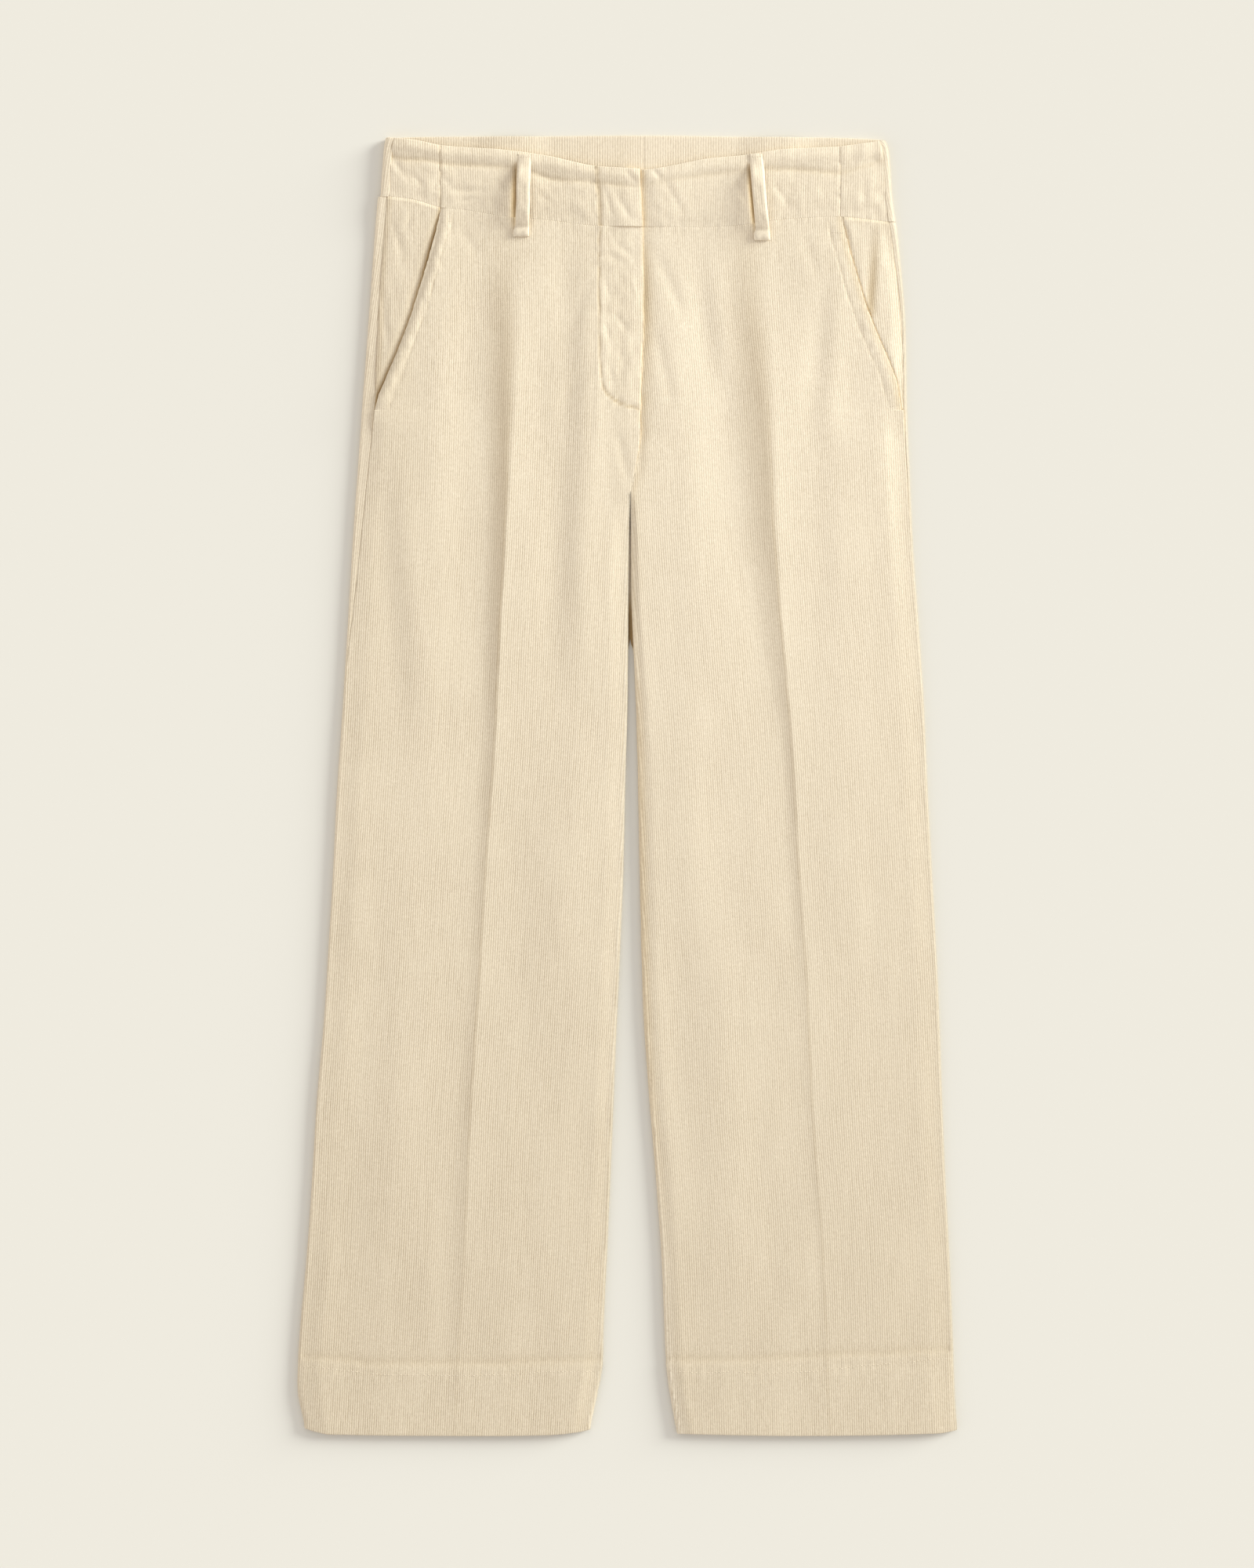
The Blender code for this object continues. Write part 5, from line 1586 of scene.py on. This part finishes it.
def build_band_back(side):
    """From the side seam round the fold and along the floor to the centre back."""
    sign = SIGN[side]

    def place(inward, share):
        y = fold_y(side, share)
        edge = outer_x(side, y)
        _, on_top, below, distance, top, spot = wrapped(side, edge, inward, BAND_FOLD)
        x, high, out, up = spot
        on_front = risen(BAND_FOLD, BAND_HEIGHT + read(BAND_PROFILE, share), distance)
        z = np.where(on_top > 0, on_front, high)
        z = z + np.where(below > 0, back_loop_lift(x, share), 0)
        true_y = mix(band_y(WAIST_BACK, x, share), band_y(WAIST_FRONT, x, share), top)
        return Placed(x, true_y, z, out, up, BAND_CLOTH, 0, 1)

    y = fold_y(side, BAND_SHARES)
    edge = outer_x(side, y)
    centre = read(CENTRE_BACK, BAND_MIDDLE) + sign * SEAM_GAP / 2
    cut = Cut(BAND_SHARES, seam_start(side, y, BAND_FOLD), sign * (edge - centre), edge * sign)
    return cloth("waistband_back_" + side, "waistband", cut, place, along=BAND_DEPTH,
                 two_faced=True, sink=WALE_PROUD, pitch=INNER_BAND_WALE,
                 rolls=(WAIST_ROLL, SEAM_ROLL, SIDE_ROLL[side]))


# ---------------------------------------------------------------- belt loops

# (share from top to bottom, rise, thickness)
LOOP_ROWS = [
    (0, 0, 0.4), (0.04, 0, 0.6), (0.1, 0, 0.85), (0.17, 0.18, 1), (0.25, 0.62, 1), (0.33, 0.93, 1),
    (0.42, 1, 1), (0.6, 1, 1), (0.69, 0.93, 1), (0.77, 0.6, 1), (0.84, 0.2, 1), (0.88, 0, 1.1),
    (0.92, 0, 1.32), (0.96, 0, 1.2), (0.985, 0, 0.9), (1, 0, 0.5),
]
LOOP_FACE_STEPS = 25
LOOP_ACROSS = np.linspace(-0.5, 0.5, LOOP_FACE_STEPS)
LOOP_EDGE_DROP = 1
LOOP_WALE_DEPTH = 0.1
LOOP_WALE_SHARE = 0.5
LOOP_EDGE_TONE = 0.07
LOOP_FOOT = (0.86, 0.94)
LOOP_FOOT_SPREAD = 0.16
LOOP_FOOT_SHIFT = -0.9
# Painted shade on the underside of a loop
LOOP_UNDER_SHADE = 0.8
# (depth, share, width) of the painted shade line in the fold above the turned-under foot
LOOP_FOOT_SHADE = (0.12, 0.87, 0.018)
# The share of a loop's width, out from its middle, that doesn't bend down to its edge
LOOP_FLAT = 0.28
BACK_LOOP_FLAT = 0.42
BACK_LOOP_ROUND = 0.5
BACK_LOOP_ENDS = (0.07, 0.93)


def seat_height(side, x, y):
    """Height of the waistband, or of the front below it, under a belt loop."""
    band_bottom = read(WAIST_FRONT, x)
    heights = []
    for at in (x - LOOP_WIDTH / 2, x, x + LOOP_WIDTH / 2):
        on_band = band_height(side, at, y, BAND_CREST)
        on_leg = base_height(side, at, y) + front_lift(side, at, y)
        heights.append(mix(on_leg, on_band, between(y - band_bottom, -8, -3)))
    return np.max(heights, axis=0) + LAYER_GAP


def corner(start):
    """How far a strip's edge has turned at each point across it, and how far that has dropped."""
    end = np.clip((np.abs(LOOP_ACROSS) - start) / (0.5 - start), 0, 1)
    return end, 1 - np.sqrt(1 - end ** 2)


def both_faces(x, y, along, grain, top, low):
    """The points of a ring over a strip and back under it, and their places in its cloth."""
    halves = [np.stack(np.broadcast_arrays(x, y, z), axis=-1) for z in (top, low)]
    flat = np.stack(np.broadcast_arrays(grain, along, 0), axis=-1)
    return np.vstack([halves[0], halves[1][::-1]]), np.vstack([flat, flat[::-1]])


def strip(node, shares, ring):
    """A closed strip: a ring of points at each share, and a cap at each end."""
    rings = [ring(share) for share in shares]
    points, grain, wales, tones = (np.concatenate(parts) for parts in zip(*rings))
    size = len(points) // len(shares)
    faces = [
        (row + i, row + (i + 1) % size, row + (i + 1) % size + size, row + i + size)
        for row in range(0, (len(shares) - 1) * size, size) for i in range(size)
    ]
    around = len(faces)
    for base, flipped in ((0, True), (len(points) - size, False)):
        for i in range(size // 2 - 1):
            face = (base + i, base + i + 1, base + size - 2 - i, base + size - 1 - i)
            faces.append(turned(face, flipped))
    plain = np.ones_like(tones)
    # The loops get the cloth's painted light falloff on top of their own tones
    values = {
        "wale": wales, "tone": tones * fade(points[:, 0], points[:, 1]), "shade": plain,
        "rim": plain, "grain": grain * MM,
    }
    look = CLOTH_LOOK["belt_loop"]
    piece = add_mesh("cloth_" + node, points, faces, look, values, len(faces) - around)
    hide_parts(node)
    return piece


def build_loop(side):
    """A folded strip that arches over the waistband, with a thicker turned-under foot."""
    x_top, y_top, x_bottom, y_bottom = FRONT_LOOPS[side]
    length = math.hypot(x_top - x_bottom, y_top - y_bottom)
    end, turn = corner(LOOP_FLAT)
    dark, foot_line, width = LOOP_FOOT_SHADE

    def ring(share):
        foot = between(share, *LOOP_FOOT)
        wobble = 0.4 * noise(share * 5, 2.5, LOOP_SEED + len(side))
        middle = mix(x_top, x_bottom, share) + wobble + LOOP_FOOT_SHIFT * foot
        y = mix(y_top, y_bottom, share)
        seat = seat_height(side, middle, y) + LOOP_RISE * read(LOOP_ROWS, share, 1)
        spread = 1 + 0.05 * noise(share * 4, 7.5, LOOP_SEED + 2) + LOOP_FOOT_SPREAD * foot
        grain = LOOP_ACROSS * LOOP_WIDTH * spread
        wale = wale_height(grain + BAND_WALE / 2, BAND_WALE)
        wale = 1 - LOOP_WALE_SHARE * (1 - foot) * (1 - wale)
        crown = 0.3 * (1 - (2 * LOOP_ACROSS) ** 2)
        lumps = 0.26 * noise(LOOP_ACROSS * 3.6, share * 12, LOOP_SEED + 4)
        wales_down = LOOP_WALE_DEPTH / LOOP_WALE_SHARE * (1 - wale) * (1 - end)
        top = seat + LOOP_CLOTH * read(LOOP_ROWS, share, 2) - LOOP_EDGE_DROP * turn
        top = top + crown + lumps - wales_down
        low = seat + 0.45 * turn
        points, flat = both_faces(middle + grain, y, share * length, grain, top, low)
        # Painted shade: a line in the fold above the foot, and the whole underside
        tone = 1 + LOOP_EDGE_TONE * end * (LOOP_ACROSS < 0)
        tone = tone - dark * bell(share - foot_line, width)
        wales = np.concatenate([wale, np.full_like(wale, CORDUROY_INSIDE)])
        return points, flat, wales, np.concatenate([tone, np.full_like(tone, LOOP_UNDER_SHADE)])

    shares = np.concatenate([[0, 0.006, 0.016], np.linspace(0.03, 0.97, 43), [0.984, 0.994, 1]])
    return strip("belt_loop_" + side, shares, ring)


def build_back_loop(side):
    """A flat loop pressed between the floor and the back waistband."""
    middle = BACK_LOOP_X[side]
    grain = LOOP_ACROSS * LOOP_WIDTH
    wale = wale_height(grain + BAND_WALE / 2, BAND_WALE)
    end, turn = corner(BACK_LOOP_FLAT)
    round_off = BACK_LOOP_ROUND * turn
    low = round_off + WALE_DEPTH * (1 - wale) * (1 - end)
    wales = np.concatenate([np.full_like(wale, CORDUROY_INSIDE), wale[::-1]])

    def ring(share):
        y = band_y(WAIST_BACK, middle, share)
        points, flat = both_faces(middle + grain, y, y, grain, BACK_LOOP_CLOTH - round_off, low)
        return points, flat, wales, np.ones_like(wales)

    return strip("belt_loop_back_" + side, np.linspace(*BACK_LOOP_ENDS, 25), ring)


# ---------------------------------------------------------------- sewing

THREAD_LIFT = (-0.22, 0, 0.07, 0, -0.22)
THREAD_SHARES = (0, 0.16, 0.5, 0.84, 1)
THREAD_TAPER = (0.45, 0.9, 1, 0.9, 0.45)
THREAD_SIDES = 6
THREAD_UNEVEN = 0.07
STITCH_LENGTH = 2.3
STITCH_GAP = 0.9
STITCH_SHAKE = 0.12
# How far from the floor, in metres, the rays start that find the cloth
RAY_START = 0.05
# (radius, depth in the cloth) of the stitches of each line
THREADS = {
    "hem": (0.23, 0.06), "pocket": (0.2, 0.12), "fly": (0.2, 0.16), "tack": (0.2, 0.1),
    "under": (0.27, 0.2),
}
TACK_STEP = 0.62
TACK_REACH = 0.8
POCKET_TACKS = {
    "left": [(-147.6, 445.6, -138.4, 446.6), (-198.2, 300, -189.2, 297.6)],
    "right": [(161.6, 437.6, 170.8, 437), (207, 299.4, 216, 301.2)],
}
# The share of a loop's length where its bar tack lies, and half the tack's length
LOOP_TACK = (0.035, 4.4)


def running(points, thread):
    """The two ends of each stitch of a sewn line through the points, and its thread."""
    points = np.asarray(points, dtype=float)
    passed = np.concatenate([[0], np.cumsum(np.hypot(*np.diff(points, axis=0).T))])
    starts = np.arange(STITCH_GAP / 2, passed[-1] - STITCH_LENGTH, STITCH_LENGTH + STITCH_GAP)
    ends = [np.interp(at, passed, points[:, axis]) for at in (starts, starts + STITCH_LENGTH)
            for axis in (0, 1)]
    return [(*stitch, thread) for stitch in zip(*ends)]


def tack(x_start, y_start, x_end, y_end):
    """A bar tack: short stitches side by side across a line."""
    length = math.hypot(x_end - x_start, y_end - y_start)
    across = np.array([-(y_end - y_start), x_end - x_start]) / length * TACK_REACH
    count = int(length / TACK_STEP)
    shares = [(i + 0.5) / count for i in range(count)]
    middles = [np.array([mix(x_start, x_end, s), mix(y_start, y_end, s)]) for s in shares]
    return [(*(middle - across), *(middle + across), "tack") for middle in middles]


def lay_stitches(name, carrier, stitches, above=True):
    """Small rounded stitches on a piece's surface, joined as one piece."""
    tree = BVHTree.FromObject(carrier, bpy.context.evaluated_depsgraph_get())
    rng = np.random.default_rng(THREAD_SEED)
    sign = 1 if above else -1
    turn = np.arange(THREAD_SIDES) * 2 * math.pi / THREAD_SIDES
    points, faces = [], []
    for ax, ay, bx, by, thread in stitches:
        size, sink = THREADS[thread]
        shake = rng.normal(0, STITCH_SHAKE, 4)
        sink = sink + abs(rng.normal(0, THREAD_UNEVEN))
        ax, ay, bx, by = ax + shake[0], ay + shake[1], bx + shake[2], by + shake[3]
        length = math.hypot(bx - ax, by - ay)
        side_x, side_y = -(by - ay) / length, (bx - ax) / length
        spots = [(mix(ax, bx, share), mix(ay, by, share)) for share in THREAD_SHARES]
        hits = [
            tree.ray_cast(Vector((x * MM, y * MM, sign * RAY_START)), Vector((0, 0, -sign)))[0]
            for x, y in spots
        ]
        if None in hits:
            continue
        heights = [sign * hit.z / MM for hit in hits]
        level = sum(heights) / len(heights)
        first = len(points)
        for (x, y), height, lift, taper in zip(spots, heights, THREAD_LIFT, THREAD_TAPER):
            middle = max(height, level) + lift - sink
            for angle in turn:
                aside = size * taper * math.cos(angle)
                z = sign * (middle + size * taper * math.sin(angle))
                points.append((x + side_x * aside, y + side_y * aside, z))
        last = len(points) - THREAD_SIDES
        for ring in range(first, last, THREAD_SIDES):
            for i in range(THREAD_SIDES):
                a, b = ring + i, ring + (i + 1) % THREAD_SIDES
                faces.append((a, b, b + THREAD_SIDES, a + THREAD_SIDES))
        faces.append(tuple(reversed(range(first, first + THREAD_SIDES))))
        faces.append(tuple(range(last, last + THREAD_SIDES)))
    return add_mesh(name, np.array(points), faces, THREAD, {})


def sew(side, built):
    """The threads on each piece of one side."""
    lines = SEWN[side]
    front = running(lines["hem"], "hem") + running(lines["pocket"], "pocket")
    if side == "left":
        front += running(lines["fly"], "fly")
    for ends in POCKET_TACKS[side]:
        front += tack(*ends)
    under = running(lines["hem"], "under")
    x_top, y_top, x_bottom, y_bottom = FRONT_LOOPS[side]
    share, half = LOOP_TACK
    x, y = mix(x_top, x_bottom, share), mix(y_top, y_bottom, share)
    bar = tack(x - half, y, x + half, y)
    return {
        "front": lay_stitches("thread_front_" + side, built["front"], front),
        "back": lay_stitches("thread_back_" + side, built["back"], under, False),
        "loop": lay_stitches("thread_belt_loop_" + side, built["loop"], bar),
    }


# The cut of what shows, in metres: width, length, area, how it lies and what it rests on
CUTS = {
    "front": (0.262, 0.962, 0.213, "laid", ("back_{0}", "hip_panel_{0}")),
    "back": (0.27, 0.974, 0.225, "laid", ()),
    "hip": (0.062, 0.15, 0.0061, "laid", ("back_{0}",)),
    "band_front": (0.178, 0.05, None, "laid", ("waistband_back_{0}",)),
    "band_side": (0.047, 0.05, None, "laid", ("waistband_back_{0}",)),
    "band_back": (0.218, 0.06, 0.0115, "folded", ()),
    "loop": (0.0125, 0.078, None, "stretched", ("waistband_front_{0}", "front_{0}")),
    "back_loop": (0.0115, 0.05, None, "laid", ()),
}

for side in SIGN:
    built = {
        "front": build_front(side),
        "back": build_back(side),
        "hip": build_hip_panel(side),
        "band_front": build_band_piece("front", side),
        "band_side": build_band_piece("side", side),
        "band_back": build_band_back(side),
        "loop": build_loop(side),
        "back_loop": build_back_loop(side),
    }
    threads = sew(side, built)
    for key, piece in built.items():
        width, length, area, held, rests_on = CUTS[key]
        [name.format(side) for name in rests_on]


# ---------------------------------------------------------------- floor, light and camera

FLOOR_HALF = 4
FLOOR_DROP = 0.0002
FRAME_HEIGHT = 1.24
FRAME_CENTRE = (-0.0003, 0.00124)
LENS = 85
SENSOR = 36
SUBJECT_HEIGHT = 0.006
# (name, energy, colour, angle, azimuth, elevation)
LAMPS = [
    ("window", 4.9, (0.97, 1.02, 1.016), 26, 24, 12.5),
    ("fill", 0.5, (1, 1, 1), 60, 200, 14),
]
WORLD_COLOUR = (1.015, 0.99, 0.992, 1)
WORLD_STRENGTH = 0.7


def build_floor():
    mesh = bpy.data.meshes.new("floor")
    corners = [(x * FLOOR_HALF, y * FLOOR_HALF, -FLOOR_DROP)
               for x, y in ((-1, -1), (1, -1), (1, 1), (-1, 1))]
    mesh.from_pydata(corners, [], [(0, 1, 2, 3)])
    add_object("floor", mesh)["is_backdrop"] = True
    material, _, shade = new_material("floor", 0.95, 0)
    shade({"Base Color": (0.80, 0.77, 0.685, 1)})
    mesh.materials.append(material)


def build_light():
    for name, energy, colour, angle, azimuth, elevation in LAMPS:
        lamp = bpy.data.lights.new(name, "SUN")
        lamp.energy, lamp.color, lamp.angle = energy, colour, math.radians(angle)
        turn, rise = math.radians(azimuth), math.radians(elevation)
        towards = Vector((
            math.cos(rise) * math.cos(turn), math.cos(rise) * math.sin(turn), math.sin(rise)
        ))
        add_object(name, lamp).rotation_euler = towards.to_track_quat("Z", "Y").to_euler()
    world = bpy.data.worlds.new("studio")
    world.use_nodes = True
    background = world.node_tree.nodes["Background"]
    background.inputs["Color"].default_value = WORLD_COLOUR
    background.inputs["Strength"].default_value = WORLD_STRENGTH
    bpy.context.scene.world = world


def build_camera():
    lens = bpy.data.cameras.new("camera")
    lens.lens = LENS
    lens.sensor_fit = "VERTICAL"
    lens.sensor_height = SENSOR
    camera = add_object("camera", lens)
    camera.location = (*FRAME_CENTRE, SUBJECT_HEIGHT + FRAME_HEIGHT * LENS / SENSOR)
    bpy.context.scene.camera = camera


build_floor()
build_light()
build_camera()
bpy.context.scene.view_settings.view_transform = "Standard"

boxes = {"cad": cad_box, "visual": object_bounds()}
plain = {key: [[float(v) for v in corner] for corner in box] for key, box in boxes.items()}
